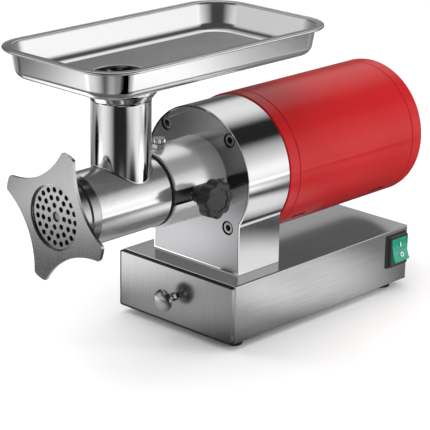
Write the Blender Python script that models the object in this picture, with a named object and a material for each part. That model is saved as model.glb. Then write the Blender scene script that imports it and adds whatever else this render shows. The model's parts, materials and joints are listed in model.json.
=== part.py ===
"""Electric meat grinder: a stainless head with feed tray and star ring nut, clamped in the neck of a gearbox
that carries a round red motor, on a folded steel base with an accessory drawer and a rocker switch.

Lengths are in metres and +Z is up. Pieces are laid out in bench coordinates: x from the auger axis, y from the
drawer front and z from the floor. The empty that holds them all puts the middle of the footprint at the origin.
"""

import math

import bmesh
import bpy
from mathutils import Matrix, Vector

# Fits
GAP = 0.0003  # between pieces that touch
ROUND = 32  # sides of a large round piece
INNER_ROUND = 24  # sides of a middling round piece
BEARING_ROUND = 16  # sides of a bearing or a stud
SMALL_ROUND = 12  # sides of a small round piece
HOLE_ROUND = 6  # sides of a hole in the grinder plate

# Base and drawer
BASE_WIDTH = 0.162
BASE_LENGTH = 0.285
BASE_HEIGHT = 0.0625
SHEET = 0.002
FOOT_HEIGHT = 0.008
FOOT_RADIUS = 0.009
FOOT_STEM_RADIUS = 0.0025
FOOT_INSET_X = 0.015
FOOT_INSET_Y = 0.022
DRAWER_FRONT_DEPTH = 0.0055
DRAWER_SHEET = 0.0015
DRAWER_LENGTH = 0.172
DRAWER_HALF_WIDTH = 0.068
DRAWER_BOX_HEIGHT = 0.050
KNOB_RADIUS = 0.012
KNOB_REACH = 0.0225
KNOB_STUD_RADIUS = 0.0025
KNOB_NUT_RADIUS = 0.0046
GUIDE_LIP = 0.009
GUIDE_HEIGHT = 0.016

# Capacitor, terminal block and cord gland
CAPACITOR_RADIUS = 0.0215
CAPACITOR_HALF_LENGTH = 0.042
CAPACITOR_Y = 0.212
CLIP_HALF_WIDTH = 0.006
TERMINALS = 4
TERMINAL_PITCH = 0.0123
GLAND_X = -0.050
GLAND_Z = 0.030
GLAND_THREAD = 0.0065
GLAND_BORE = 0.0038

# Auger axis, neck and gearbox
AXIS_HEIGHT = 0.0940  # above the base top
NECK_FRONT = -0.038
NECK_RADIUS_FRONT = 0.040
NECK_RADIUS_REAR = 0.0422
SOCKET_RADIUS = 0.0295
SOCKET_END = 0.0143
PLATE_FRONT = 0.0317
PLATE_THICKNESS = 0.008
HOUSING_REAR = 0.0927
HOUSING_RADIUS = 0.0732
HOUSING_WALL = 0.004
HOUSING_RIM = 0.0015
LEG_HALF_WIDTH = 0.0613
LEG_FILLET = 0.008
SCREW_X = 0.0445
SCREW_Z = 0.0465  # above and below the auger axis
SCREW_RADIUS = 0.0038
SCREW_HEAD_RADIUS = 0.0063
SCREW_SEAT = 0.0055  # behind the cover's face
SCREW_BOSS_RADIUS = 0.0090
COUNTERBORE_RADIUS = 0.0076
SLOT_HALF_HEIGHT = 0.0077
SLOT_FLOOR = 0.0370
REAR_WALL = 0.0087

# Clamp knob and oil plug
CLAMP_Y = -0.0120
CLAMP_STUD_RADIUS = 0.004
CLAMP_LOBES = 8
CLAMP_RADIUS = 0.0198
CLAMP_LOBE_DEPTH = 0.0016
CLAMP_BACK = 0.0595
CLAMP_FACE = 0.0743
OIL_PLUG_Y = -0.0240
OIL_STEM_RADIUS = 0.0040
OIL_CAP_RADIUS = 0.0070

# Gears
MODULE = 0.0015
PRESSURE_ANGLE = math.radians(25)
BACKLASH = 0.0003
MOTOR_TEETH = 12
REDUCTION_TEETH = 36
PINION_TEETH = 14
OUTPUT_TEETH = 34
GEAR_DISTANCE = MODULE * (MOTOR_TEETH + REDUCTION_TEETH) / 2
OUTPUT_SHAFT_RADIUS = 0.0122
OUTPUT_SEAT_RADIUS = 0.0235
SEAL_SEAT_RADIUS = 0.0203
SMALL_BEARING_RADIUS = 0.0110

# Motor
MOTOR_RADIUS = 0.0751
MOTOR_FRONT = 0.0930
MOTOR_REAR = 0.3123
MOTOR_SHELL = 0.002
MOTOR_ROUND = 40
FRONT_SEAM = 0.1082
REAR_SEAM = 0.2940
VENT_ROWS = (0.133, 0.263)
VENT_ANGLE = math.radians(46)
VENT_HALF_LENGTH = 0.011
VENT_HALF_HEIGHT = 0.0016
LOUVRE_PITCH = 0.013
LOUVRE_LENGTH = 0.040
CORE_FRONT = 0.1350
CORE_REAR = 0.2450
ROTOR_RADIUS = 0.0412
ROTOR_SHAFT_RADIUS = 0.0100
FAN_BLADES = 8

# Grinding head
BARREL_RADIUS = 0.0373
BARREL_REAR = -0.0410
CHAMBER_RADIUS = 0.0290
SEAT_RADIUS = 0.0338
THREAD_RADIUS = 0.0362
THREAD_END = -0.1365
BARREL_FRONT = -0.1580
SPIGOT_RADIUS = 0.0292
SPIGOT_END = -0.0027
THROAT_Y = -0.0761
THROAT_RADIUS = 0.0300
THROAT_BORE = 0.0265
CUP_RADIUS = 0.0358
CUP_BORE = 0.0335
CUP_START = 0.1955  # above the base top
CUP_TOP = 0.2180  # above the base top
AUGER_RADIUS = 0.0280
AUGER_CORE = 0.0130
AUGER_PITCH = 0.0280
TANG_HALF = 0.0070
KNIFE_SQUARE_HALF = 0.0062
KNIFE_FRONT = -0.1542
KNIFE_REAR = -0.1462
PLATE_RADIUS = 0.0335
PLATE_HOLE_RADIUS = 0.0028
PLATE_RINGS = ((7, 0.0112), (13, 0.0190), (19, 0.0268))
GRINDER_PLATE_FRONT = -0.1618
GRINDER_PLATE_REAR = -0.1548
RING_FRONT = -0.1656
RING_PLATE = 0.0035
RING_OPENING = 0.0314
RING_NUT_RADIUS = 0.0390
RING_NUT_BORE = 0.0366
RING_NUT_END = -0.1370
STAR_TIP_RADIUS = 0.0695
STAR_TIP_WIDTH = 0.0170
STAR_WAIST_RADIUS = 0.0425
STAR_TURN = math.radians(72.5)

# Feed tray
TRAY_HALF_WIDTH = 0.0880
TRAY_FRONT = -0.1750
TRAY_REAR = 0.1490
TRAY_CORNER = 0.0430
TRAY_DEPTH = 0.0315
TRAY_SHEET = 0.0015
RIM_HEIGHT = 0.2502  # above the base top

# Switch
SWITCH_Y = 0.2635
SWITCH_HEIGHT = -0.0235  # above the base top
BEZEL_HALF_WIDTH = 0.0170
BEZEL_HALF_HEIGHT = 0.0190
ROCKER_PIVOT_X = 0.0795
ROCKER_HALF_HEIGHT = 0.0130
ROCKER_HALF_WIDTH = 0.0125
ROCKER_FRONT = 0.0113
ROCKER_TILT = math.radians(12)

BASE_BOTTOM = FOOT_HEIGHT
BASE_TOP = FOOT_HEIGHT + BASE_HEIGHT
AXIS_Z = BASE_TOP + AXIS_HEIGHT
LAYSHAFT_Z = AXIS_Z - GEAR_DISTANCE
PLATE_REAR = PLATE_FRONT + PLATE_THICKNESS
BASE_HALF = BASE_WIDTH / 2
SHELL_FRONT = DRAWER_FRONT_DEPTH + 0.0005
RIM_Z = BASE_TOP + RIM_HEIGHT
TRAY_FLOOR = RIM_Z - TRAY_DEPTH
SWITCH_Z = BASE_TOP + SWITCH_HEIGHT
SWITCH_REACH = (
    ROCKER_PIVOT_X + ROCKER_FRONT * math.cos(ROCKER_TILT) + ROCKER_HALF_HEIGHT * math.sin(ROCKER_TILT)
)
MIDDLE_X = (SWITCH_REACH - TRAY_HALF_WIDTH) / 2
MIDDLE_Y = (TRAY_FRONT + MOTOR_REAR) / 2

FEET = [
    (f"foot_{end}_{side}", sign * (BASE_HALF - FOOT_INSET_X), y)
    for end, y in (("front", FOOT_INSET_Y), ("rear", BASE_LENGTH - FOOT_INSET_Y))
    for side, sign in (("left", -1), ("right", 1))
]
COVER_SCREWS = [(side * SCREW_X, AXIS_Z + level * SCREW_Z) for level in (1, -1) for side in (-1, 1)]

# Colour, roughness and metallic value of each finish
FINISHES = {
    "polished_steel": ((0.80, 0.80, 0.80), 0.12, 1.0),
    "satin_steel": ((0.42, 0.42, 0.43), 0.38, 1.0),
    "brushed_steel": ((0.55, 0.55, 0.55), 0.32, 1.0),
    "tinned_iron": ((0.60, 0.60, 0.58), 0.42, 1.0),
    "machined_steel": ((0.50, 0.50, 0.52), 0.30, 1.0),
    "gear_steel": ((0.30, 0.30, 0.32), 0.40, 1.0),
    "red_paint": ((0.55, 0.016, 0.018), 0.18, 0.0),
    "black_plastic": ((0.015, 0.015, 0.016), 0.35, 0.0),
    "green_plastic": ((0.0, 0.26, 0.16), 0.20, 0.0),
    "black_rubber": ((0.012, 0.012, 0.012), 0.70, 0.0),
    "copper_winding": ((0.60, 0.22, 0.08), 0.35, 1.0),
    "laminated_steel": ((0.22, 0.22, 0.23), 0.55, 1.0),
    "cast_aluminium": ((0.55, 0.56, 0.57), 0.50, 1.0),
}

# Pieces whose many cuts meet in one face, which the exact solver leaves open
MANY_HOLES = ("gearbox_cover", "gearbox_housing", "grinder_plate")


# ---------------------------------------------------------------- helpers


def along(axis, across, up, height):
    """The point at (across, up) in the plane that the axis crosses at this height."""
    if axis == "X":
        return Vector((height, across, up))
    if axis == "Y":
        return Vector((across, height, up))
    return Vector((across, up, height))


def lathe(profile, axis, centre, steps=ROUND, start=0.0):
    """A solid turned from a loop of (radius, height) points. Points at radius 0 lie on the axis."""
    shape = bmesh.new()
    rings = []
    for radius, height in profile:
        if radius <= 0:
            pole = shape.verts.new(along(axis, 0, 0, height) + Vector(centre))
            rings.append([pole] * steps)
            continue
        ring = []
        for step in range(steps):
            angle = start + 2 * math.pi * step / steps
            point = along(axis, radius * math.cos(angle), radius * math.sin(angle), height)
            ring.append(shape.verts.new(point + Vector(centre)))
        rings.append(ring)
    for first, second in zip(rings, rings[1:] + rings[:1]):
        for step in range(steps):
            after = (step + 1) % steps
            corners = dict.fromkeys((first[step], first[after], second[after], second[step]))
            if len(corners) > 2:
                shape.faces.new(list(corners))
    return shape


def tube(outer, inner, low, high, axis, centre, steps=ROUND):
    return lathe([(outer, high), (outer, low), (inner, low), (inner, high)], axis, centre, steps)


def rod(radius, low, high, axis, centre, steps=SMALL_ROUND, start=0.0):
    return lathe([(0, high), (radius, high), (radius, low), (0, low)], axis, centre, steps, start)


def prism(outline, axis, low, high, centre=(0, 0, 0)):
    """A solid between two heights on the axis, with this outline of (across, up) points."""
    shape = bmesh.new()
    bottom = [shape.verts.new(along(axis, a, b, low) + Vector(centre)) for a, b in outline]
    top = [shape.verts.new(along(axis, a, b, high) + Vector(centre)) for a, b in outline]
    shape.faces.new(bottom)
    shape.faces.new(top)
    for index in range(len(outline)):
        after = (index + 1) % len(outline)
        shape.faces.new((bottom[index], bottom[after], top[after], top[index]))
    return shape


def box(low, high):
    outline = [(low[0], low[1]), (high[0], low[1]), (high[0], high[1]), (low[0], high[1])]
    return prism(outline, "Z", low[2], high[2])


def arc(centre, radius, first, last, steps):
    """Points on an arc between two angles in degrees, both ends included."""
    points = []
    for step in range(steps + 1):
        angle = math.radians(first + (last - first) * step / steps)
        points.append((centre[0] + radius * math.cos(angle), centre[1] + radius * math.sin(angle)))
    return points


def rounded_rectangle(low, high, radius, steps=4):
    """The outline between two opposite corners, with a quarter circle at each corner."""
    points = arc((high[0] - radius, low[1] + radius), radius, -90, 0, steps)
    points += arc((high[0] - radius, high[1] - radius), radius, 0, 90, steps)
    points += arc((low[0] + radius, high[1] - radius), radius, 90, 180, steps)
    points += arc((low[0] + radius, low[1] + radius), radius, 180, 270, steps)
    return points


def material(finish):
    found = bpy.data.materials.get(finish)
    if found:
        return found
    colour, roughness, metallic = FINISHES[finish]
    made = bpy.data.materials.new(finish)
    made.use_nodes = True
    shader = made.node_tree.nodes["Principled BSDF"]
    shader.inputs["Base Color"].default_value = (*colour, 1.0)
    shader.inputs["Roughness"].default_value = roughness
    shader.inputs["Metallic"].default_value = metallic
    return made


def mesh_object(name, shape, origin):
    """An object of this shape, given in bench coordinates, with its own origin at the point given."""
    bmesh.ops.translate(shape, verts=shape.verts, vec=-Vector(origin))
    bmesh.ops.recalc_face_normals(shape, faces=shape.faces)
    mesh = bpy.data.meshes.new(name)
    shape.to_mesh(mesh)
    shape.free()
    made = bpy.data.objects.new(name, mesh)
    made.location = origin
    bpy.context.scene.collection.objects.link(made)
    made.parent = bpy.data.objects["meat_grinder"]
    return made


def piece(name, shape, finish, origin=(0, 0, 0)):
    made = mesh_object(name, shape, origin)
    made.data.materials.append(material(finish))
    made.data.shade_smooth()
    made.data.set_sharp_from_angle(angle=math.radians(35))
    return made


def combine(target, shape, operation):
    helper = mesh_object(target.name + "_helper", shape, (0, 0, 0))
    helper.hide_render = True
    helper.display_type = "WIRE"
    modifier = target.modifiers.new(operation.title(), "BOOLEAN")
    modifier.operation = operation
    modifier.solver = "MANIFOLD" if target.name in MANY_HOLES else "EXACT"
    modifier.object = helper


def cut(target, *shapes):
    for shape in shapes:
        combine(target, shape, "DIFFERENCE")


def join(target, *shapes):
    for shape in shapes:
        combine(target, shape, "UNION")


def gear_outline(teeth, turn):
    """An involute gear's outline, with the middle of a tooth at this angle."""
    pitch = MODULE * teeth / 2
    base = pitch * math.cos(PRESSURE_ANGLE)
    involute = math.tan(PRESSURE_ANGLE) - PRESSURE_ANGLE
    half_at_pitch = math.pi / (2 * teeth) - BACKLASH / (2 * pitch)
    flank = []
    for radius in (pitch - 1.25 * MODULE, pitch, pitch + 0.95 * MODULE):
        at = math.acos(base / max(radius, base))
        flank.append((radius, half_at_pitch + involute - (math.tan(at) - at)))
    points = []
    for tooth in range(teeth):
        middle = turn + 2 * math.pi * tooth / teeth
        sides = [(radius, -half) for radius, half in flank] + [(radius, half) for radius, half in flank[::-1]]
        for radius, offset in sides:
            points.append((radius * math.cos(middle + offset), radius * math.sin(middle + offset)))
    return points


def rectangle(half_width, half_height):
    return [
        (half_width, -half_height),
        (half_width, half_height),
        (-half_width, half_height),
        (-half_width, -half_height),
    ]


def square(half):
    return rectangle(half, half)


def hexagon(radius):
    return [(radius * math.cos(k * math.pi / 3), radius * math.sin(k * math.pi / 3)) for k in range(6)]


# ---------------------------------------------------------------- base and drawer


def base():
    low = (-BASE_HALF, SHELL_FRONT, BASE_BOTTOM)
    shell = piece("base_shell", box(low, (BASE_HALF, BASE_LENGTH, BASE_TOP)), "brushed_steel")
    inside = BASE_HALF - SHEET
    cut(
        shell,
        box((-inside, -SHELL_FRONT, -BASE_BOTTOM), (inside, BASE_LENGTH - SHEET, BASE_TOP - SHEET)),
        box(
            (inside - SHEET, SWITCH_Y - BEZEL_HALF_WIDTH + 0.003, SWITCH_Z - BEZEL_HALF_HEIGHT + 0.003),
            (BASE_HALF + SHEET, SWITCH_Y + BEZEL_HALF_WIDTH - 0.003, SWITCH_Z + BEZEL_HALF_HEIGHT - 0.003),
        ),
        rod(GLAND_THREAD + GAP, BASE_LENGTH - 2 * SHEET, BASE_LENGTH + SHEET, "Y", (GLAND_X, 0, GLAND_Z)),
    )
    floor_side = inside - GAP
    floor_end = (floor_side, BASE_LENGTH - SHEET - GAP, BASE_BOTTOM + SHEET)
    floor = piece("base_floor", box((-floor_side, SHELL_FRONT, BASE_BOTTOM), floor_end), "satin_steel")
    for name, x, y in FEET:
        cut(floor, rod(FOOT_STEM_RADIUS + GAP, 0, 2 * BASE_BOTTOM, "Z", (x, y, 0)))
        profile = [
            (0, BASE_BOTTOM + SHEET + GAP),
            (FOOT_STEM_RADIUS, BASE_BOTTOM + SHEET + GAP),
            (FOOT_STEM_RADIUS, BASE_BOTTOM - GAP),
            (FOOT_RADIUS, BASE_BOTTOM - GAP),
            (FOOT_RADIUS - 0.0008, 0.0012),
            (FOOT_RADIUS - 0.0022, 0),
            (0, 0),
        ]
        piece(name, lathe(profile, "Z", (x, y, 0), SMALL_ROUND), "black_rubber", (x, y, 0))


def drawer():
    middle_z = BASE_BOTTOM + BASE_HEIGHT / 2
    low, high = BASE_BOTTOM + GAP, BASE_TOP - 0.0006
    outline = rounded_rectangle((-BASE_HALF, low), (BASE_HALF, high), 0.0012, 2)
    front = piece("drawer_front", prism(outline, "Y", 0, DRAWER_FRONT_DEPTH), "brushed_steel")
    side = BASE_HALF - DRAWER_SHEET
    inside = rounded_rectangle((-side, low + DRAWER_SHEET), (side, high - DRAWER_SHEET), 0.0008, 1)
    axis = (0, 0, middle_z)
    stud_hole = (KNOB_STUD_RADIUS + GAP, -0.01, 0.02, "Y", axis)
    cut(front, prism(inside, "Y", DRAWER_SHEET, 2 * DRAWER_FRONT_DEPTH), rod(*stud_hole))

    bottom = BASE_BOTTOM + SHEET + 0.0006
    box_front = DRAWER_SHEET + GAP
    wall = DRAWER_SHEET
    tray = piece(
        "drawer_box",
        box(
            (-DRAWER_HALF_WIDTH, box_front, bottom),
            (DRAWER_HALF_WIDTH, DRAWER_LENGTH, bottom + DRAWER_BOX_HEIGHT),
        ),
        "satin_steel",
    )
    cut(
        tray,
        box(
            (wall - DRAWER_HALF_WIDTH, box_front + wall, bottom + wall),
            (DRAWER_HALF_WIDTH - wall, DRAWER_LENGTH - wall, BASE_TOP),
        ),
        rod(*stud_hole),
    )

    guide_z = BASE_BOTTOM + SHEET + GAP
    for name, sign in (("drawer_guide_left", -1), ("drawer_guide_right", 1)):
        inner = DRAWER_HALF_WIDTH + 0.0005
        outline = [
            (sign * inner, guide_z),
            (sign * (inner + GUIDE_LIP), guide_z),
            (sign * (inner + GUIDE_LIP), guide_z + SHEET),
            (sign * (inner + SHEET), guide_z + SHEET),
            (sign * (inner + SHEET), guide_z + GUIDE_HEIGHT),
            (sign * inner, guide_z + GUIDE_HEIGHT),
        ]
        piece(name, prism(outline, "Y", 0.030, 0.176), "satin_steel")

    bolt = piece("drawer_knob_bolt", rod(KNOB_STUD_RADIUS, -0.0175, 0.009, "Y", axis), "machined_steel")
    nut = hexagon(KNOB_NUT_RADIUS)
    join(bolt, prism(nut, "Y", -0.0042, -GAP, axis), prism(nut, "Y", box_front + wall + GAP, 0.0075, axis))
    profile = [(0, -KNOB_REACH)]
    for angle in (20, 42, 62, 80):
        bend = math.radians(angle)
        profile.append((KNOB_RADIUS * math.sin(bend), -KNOB_REACH + 0.0060 * (1 - math.cos(bend))))
    profile += [
        (KNOB_RADIUS, -KNOB_REACH + 0.0066),
        (KNOB_RADIUS - 0.0006, -KNOB_REACH + 0.0082),
        (0.0056, -0.0118),
        (0.0044, -0.0085),
        (0.0044, -0.0062),
        (KNOB_STUD_RADIUS + GAP, -0.0062),
        (KNOB_STUD_RADIUS + GAP, -0.0180),
        (0, -0.0180),
    ]
    piece("drawer_knob", lathe(profile, "Y", axis, INNER_ROUND), "polished_steel", axis)


def electrics():
    floor = BASE_BOTTOM + SHEET + GAP
    centre = (0, CAPACITOR_Y, floor + CAPACITOR_RADIUS + 0.005)
    radius, half = CAPACITOR_RADIUS, CAPACITOR_HALF_LENGTH
    rim = 0.002
    cell = [(0, half), (radius - rim, half), (radius, half - rim)]
    cell += [(radius, rim - half), (radius - rim, -half), (0, -half)]
    piece("run_capacitor", lathe(cell, "X", centre, INNER_ROUND), "black_plastic")
    band = tube(radius + GAP + SHEET, radius + GAP, -CLIP_HALF_WIDTH, CLIP_HALF_WIDTH, "X", centre, INNER_ROUND)
    clip = piece("capacitor_clip", band, "satin_steel")
    saddle_low = (-CLIP_HALF_WIDTH, CAPACITOR_Y - 0.014, floor)
    join(clip, box(saddle_low, (CLIP_HALF_WIDTH, CAPACITOR_Y + 0.014, floor + 0.0040)))
    strip = box((-0.064, 0.246, floor), (-0.014, 0.264, floor + 0.014))
    block = piece("terminal_block", strip, "black_plastic")
    for slot in range(TERMINALS):
        x = -0.0575 + TERMINAL_PITCH * slot
        cut(block, box((x - 0.004, 0.240, floor + 0.009), (x + 0.004, 0.270, floor + 0.020)))

    centre = (GLAND_X, 0, GLAND_Z)
    face = BASE_LENGTH + GAP
    gland = piece(
        "cord_gland",
        prism(hexagon(0.0105), "Y", face, face + 0.006, centre),
        "black_plastic",
        (GLAND_X, BASE_LENGTH, GLAND_Z),
    )
    dome = [
        (0, face + 0.016),
        (0.0060, face + 0.016),
        (0.0082, face + 0.012),
        (0.0088, face + 0.004),
        (0.0088, face + 0.001),
        (0, face + 0.001),
    ]
    join(
        gland,
        lathe(dome, "Y", centre, SMALL_ROUND),
        rod(GLAND_THREAD, BASE_LENGTH - 0.012, face + 0.001, "Y", centre),
    )
    cut(gland, rod(GLAND_BORE, 0.26, 0.32, "Y", centre))


def switch():
    half_y, half_z = BEZEL_HALF_WIDTH, BEZEL_HALF_HEIGHT
    pocket_y, pocket_z = ROCKER_HALF_WIDTH + 0.0004, ROCKER_HALF_HEIGHT + 0.0020
    centre = (0, SWITCH_Y, SWITCH_Z)
    wall = BASE_HALF + GAP
    outline = rounded_rectangle((-half_y, -half_z), (half_y, half_z), 0.002, 2)
    bezel = piece("switch_housing", prism(outline, "X", wall, wall + 0.0025, centre), "black_plastic")
    lip = 0.0018
    collar = rounded_rectangle((lip - half_y, lip - half_z), (half_y - lip, half_z - lip), 0.001, 2)
    body = rectangle(half_y - 0.0033, half_z - 0.0033)
    join(
        bezel,
        prism(collar, "X", wall + 0.001, wall + 0.0062, centre),
        prism(body, "X", 0.052, wall + 0.001, centre),
    )
    cut(bezel, prism(rectangle(pocket_y, pocket_z), "X", 0.070, wall + 0.02, centre))

    pivot = (ROCKER_PIVOT_X, SWITCH_Y, SWITCH_Z)
    side = [
        (ROCKER_FRONT, -ROCKER_HALF_HEIGHT),
        (ROCKER_FRONT - 0.0016, 0),
        (ROCKER_FRONT, ROCKER_HALF_HEIGHT),
        (0.0072, ROCKER_HALF_HEIGHT),
        (-0.0030, 0.0092),
        (-0.0050, 0.0040),
        (-0.0050, -0.0040),
        (-0.0030, -0.0092),
        (0.0072, -ROCKER_HALF_HEIGHT),
    ]
    shape = prism(side, "Y", -ROCKER_HALF_WIDTH, ROCKER_HALF_WIDTH)
    turn = Matrix.Rotation(-ROCKER_TILT, 4, "Y")
    bmesh.ops.transform(shape, matrix=Matrix.Translation(pivot) @ turn, verts=shape.verts)
    piece("switch_rocker", shape, "green_plastic", pivot)


# ---------------------------------------------------------------- gearbox


def housing_outline(inset, foot):
    """An arch on a straight leg, drawn inside the outer outline by the inset, down to the foot height."""
    radius = HOUSING_RADIUS - inset
    half = LEG_HALF_WIDTH - inset
    fillet = LEG_FILLET + inset
    across = LEG_HALF_WIDTH + LEG_FILLET
    reach = HOUSING_RADIUS + LEG_FILLET
    drop = math.sqrt(reach**2 - across**2)
    meet = math.degrees(math.asin(drop / reach))
    fillet_z = AXIS_Z - drop
    right = [(half, foot)]
    right += arc((across, fillet_z), fillet, 180, 180 - meet, 3)
    top = arc((0, AXIS_Z), radius, -meet, 180 + meet, 28)
    left = [(-x, z) for x, z in reversed(right)]
    return right + top[1:-1] + left


def bearing(name, outer, bore, low, high, centre):
    piece(name, tube(outer, bore, low, high, "Y", centre, BEARING_ROUND), "machined_steel", centre)


def gearbox_housing():
    foot = BASE_TOP + GAP
    axis = (0, 0, AXIS_Z)
    housing = piece(
        "gearbox_housing", prism(housing_outline(0, foot), "Y", PLATE_FRONT, HOUSING_REAR), "polished_steel"
    )
    rear_wall = HOUSING_REAR - REAR_WALL
    cut(
        housing,
        prism(housing_outline(HOUSING_RIM, foot + HOUSING_RIM), "Y", 0, PLATE_REAR + GAP),
        prism(housing_outline(HOUSING_WALL, foot + HOUSING_WALL), "Y", PLATE_FRONT, rear_wall),
    )
    for x, z in COVER_SCREWS:
        join(housing, rod(SCREW_BOSS_RADIUS, PLATE_REAR + GAP, rear_wall + 0.001, "Y", (x, 0, z)))
        cut(housing, rod(SCREW_RADIUS + 0.0005, PLATE_REAR - 0.001, PLATE_REAR + 0.016, "Y", (x, 0, z)))
    seat, low = SMALL_BEARING_RADIUS + GAP, rear_wall - 0.001
    cut(
        housing,
        rod(0.0178, low, HOUSING_REAR + 0.001, "Y", axis, INNER_ROUND),
        rod(seat, low, rear_wall + 0.0063, "Y", (0, 0, LAYSHAFT_Z), INNER_ROUND),
    )


def gearbox_cover():
    foot = BASE_TOP + HOUSING_RIM + 2 * GAP
    axis = (0, 0, AXIS_Z)
    inset = HOUSING_RIM + GAP
    cover = piece(
        "gearbox_cover", prism(housing_outline(inset, foot), "Y", PLATE_FRONT, PLATE_REAR), "satin_steel"
    )
    neck = [
        (0, PLATE_FRONT + 0.001),
        (NECK_RADIUS_REAR, PLATE_FRONT + 0.001),
        (NECK_RADIUS_FRONT + 0.0006, NECK_FRONT + 0.001),
        (NECK_RADIUS_FRONT - 0.0004, NECK_FRONT),
        (0, NECK_FRONT),
    ]
    join(cover, lathe(neck, "Y", axis))
    bore = [
        (0, PLATE_REAR + 0.001),
        (OUTPUT_SEAT_RADIUS + GAP, PLATE_REAR + 0.001),
        (OUTPUT_SEAT_RADIUS + GAP, 0.0207),
        (SEAL_SEAT_RADIUS, 0.0207),
        (SEAL_SEAT_RADIUS, 0.0153),
        (0.0145, 0.0153),
        (0.0145, SOCKET_END),
        (SOCKET_RADIUS, SOCKET_END),
        (SOCKET_RADIUS, NECK_FRONT - 0.01),
        (0, NECK_FRONT - 0.01),
    ]
    slot_box = box(
        (SLOT_FLOOR, NECK_FRONT - 0.001, AXIS_Z - SLOT_HALF_HEIGHT),
        (SLOT_FLOOR + 0.02, PLATE_FRONT - 0.0004, AXIS_Z + SLOT_HALF_HEIGHT),
    )
    cut(
        cover,
        lathe(bore, "Y", axis, ROUND),
        slot_box,
        rod(CLAMP_STUD_RADIUS + GAP, 0.02, 0.05, "X", (0, CLAMP_Y, AXIS_Z)),
        rod(OIL_STEM_RADIUS + GAP, AXIS_Z + 0.020, AXIS_Z + 0.05, "Z", (0, OIL_PLUG_Y, 0)),
    )
    layshaft_axis = (0, 0, LAYSHAFT_Z)
    pocket = SMALL_BEARING_RADIUS + GAP
    cut(cover, rod(pocket, PLATE_REAR - 0.0060, PLATE_REAR + 0.001, "Y", layshaft_axis, INNER_ROUND))
    seat = PLATE_FRONT + SCREW_SEAT + GAP
    for x, z in COVER_SCREWS:
        cut(cover, rod(COUNTERBORE_RADIUS, PLATE_FRONT - 0.001, seat, "Y", (x, 0, z), BEARING_ROUND))
        cut(cover, rod(SCREW_RADIUS + 0.0004, PLATE_FRONT, PLATE_REAR + 0.001, "Y", (x, 0, z)))


def cover_screws():
    head_back = PLATE_FRONT + SCREW_SEAT
    for number, (x, z) in enumerate(COVER_SCREWS, 1):
        profile = [
            (0, head_back + 0.015),
            (SCREW_RADIUS, head_back + 0.015),
            (SCREW_RADIUS, head_back),
            (SCREW_HEAD_RADIUS, head_back),
            (SCREW_HEAD_RADIUS, PLATE_FRONT + 0.0008),
            (SCREW_HEAD_RADIUS - 0.0006, PLATE_FRONT + 0.0002),
            (0, PLATE_FRONT + 0.0002),
        ]
        centre = (x, 0, z)
        shape = lathe(profile, "Y", centre, SMALL_ROUND)
        screw = piece(f"cover_screw_{number}", shape, "machined_steel", centre)
        cut(screw, prism(hexagon(0.0035), "Y", PLATE_FRONT - 0.001, PLATE_FRONT + 0.0042, centre))


def clamp():
    centre = (0, CLAMP_Y, AXIS_Z)
    tip = SPIGOT_RADIUS + GAP
    stud = [
        (0, 0.0680),
        (CLAMP_STUD_RADIUS - 0.0008, 0.0680),
        (CLAMP_STUD_RADIUS, 0.0670),
        (CLAMP_STUD_RADIUS, tip + 0.0012),
        (CLAMP_STUD_RADIUS - 0.0012, tip),
        (0, tip),
    ]
    piece("clamp_stud", lathe(stud, "X", centre, BEARING_ROUND), "machined_steel", centre)
    outline = []
    steps = 6 * CLAMP_LOBES
    for step in range(steps):
        angle = 2 * math.pi * step / steps
        radius = CLAMP_RADIUS - CLAMP_LOBE_DEPTH * (1 - math.cos(CLAMP_LOBES * angle)) / 2
        outline.append((radius * math.cos(angle), radius * math.sin(angle)))
    knob = piece("clamp_knob", prism(outline, "X", CLAMP_BACK, CLAMP_FACE, centre), "black_plastic", centre)
    join(knob, lathe([(0, 0.0605), (0.0110, 0.0605), (0.0090, 0.0440), (0, 0.0440)], "X", centre, INNER_ROUND))
    cut(knob, rod(CLAMP_STUD_RADIUS + GAP, 0.040, 0.0684, "X", centre))


def oil_plug():
    seat = AXIS_Z + NECK_RADIUS_FRONT + 0.0010
    centre = (0, OIL_PLUG_Y, 0)
    body = piece("oil_plug", prism(hexagon(0.0066), "Z", seat, seat + 0.0050, centre), "polished_steel", centre)
    join(
        body,
        rod(OIL_STEM_RADIUS, seat - 0.0095, seat + 0.001, "Z", centre, BEARING_ROUND),
        rod(0.0026, seat + 0.004, seat + 0.0085, "Z", centre),
    )
    cap = [
        (0.0029, seat + 0.0058),
        (OIL_CAP_RADIUS - 0.0008, seat + 0.0058),
        (OIL_CAP_RADIUS, seat + 0.0066),
        (OIL_CAP_RADIUS, seat + 0.0096),
        (OIL_CAP_RADIUS - 0.0008, seat + 0.0104),
        (0, seat + 0.0104),
        (0, seat + 0.0088),
        (0.0029, seat + 0.0088),
    ]
    piece("oil_plug_cap", lathe(cap, "Z", centre, INNER_ROUND), "polished_steel", centre)


# ---------------------------------------------------------------- gear train and motor


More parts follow.
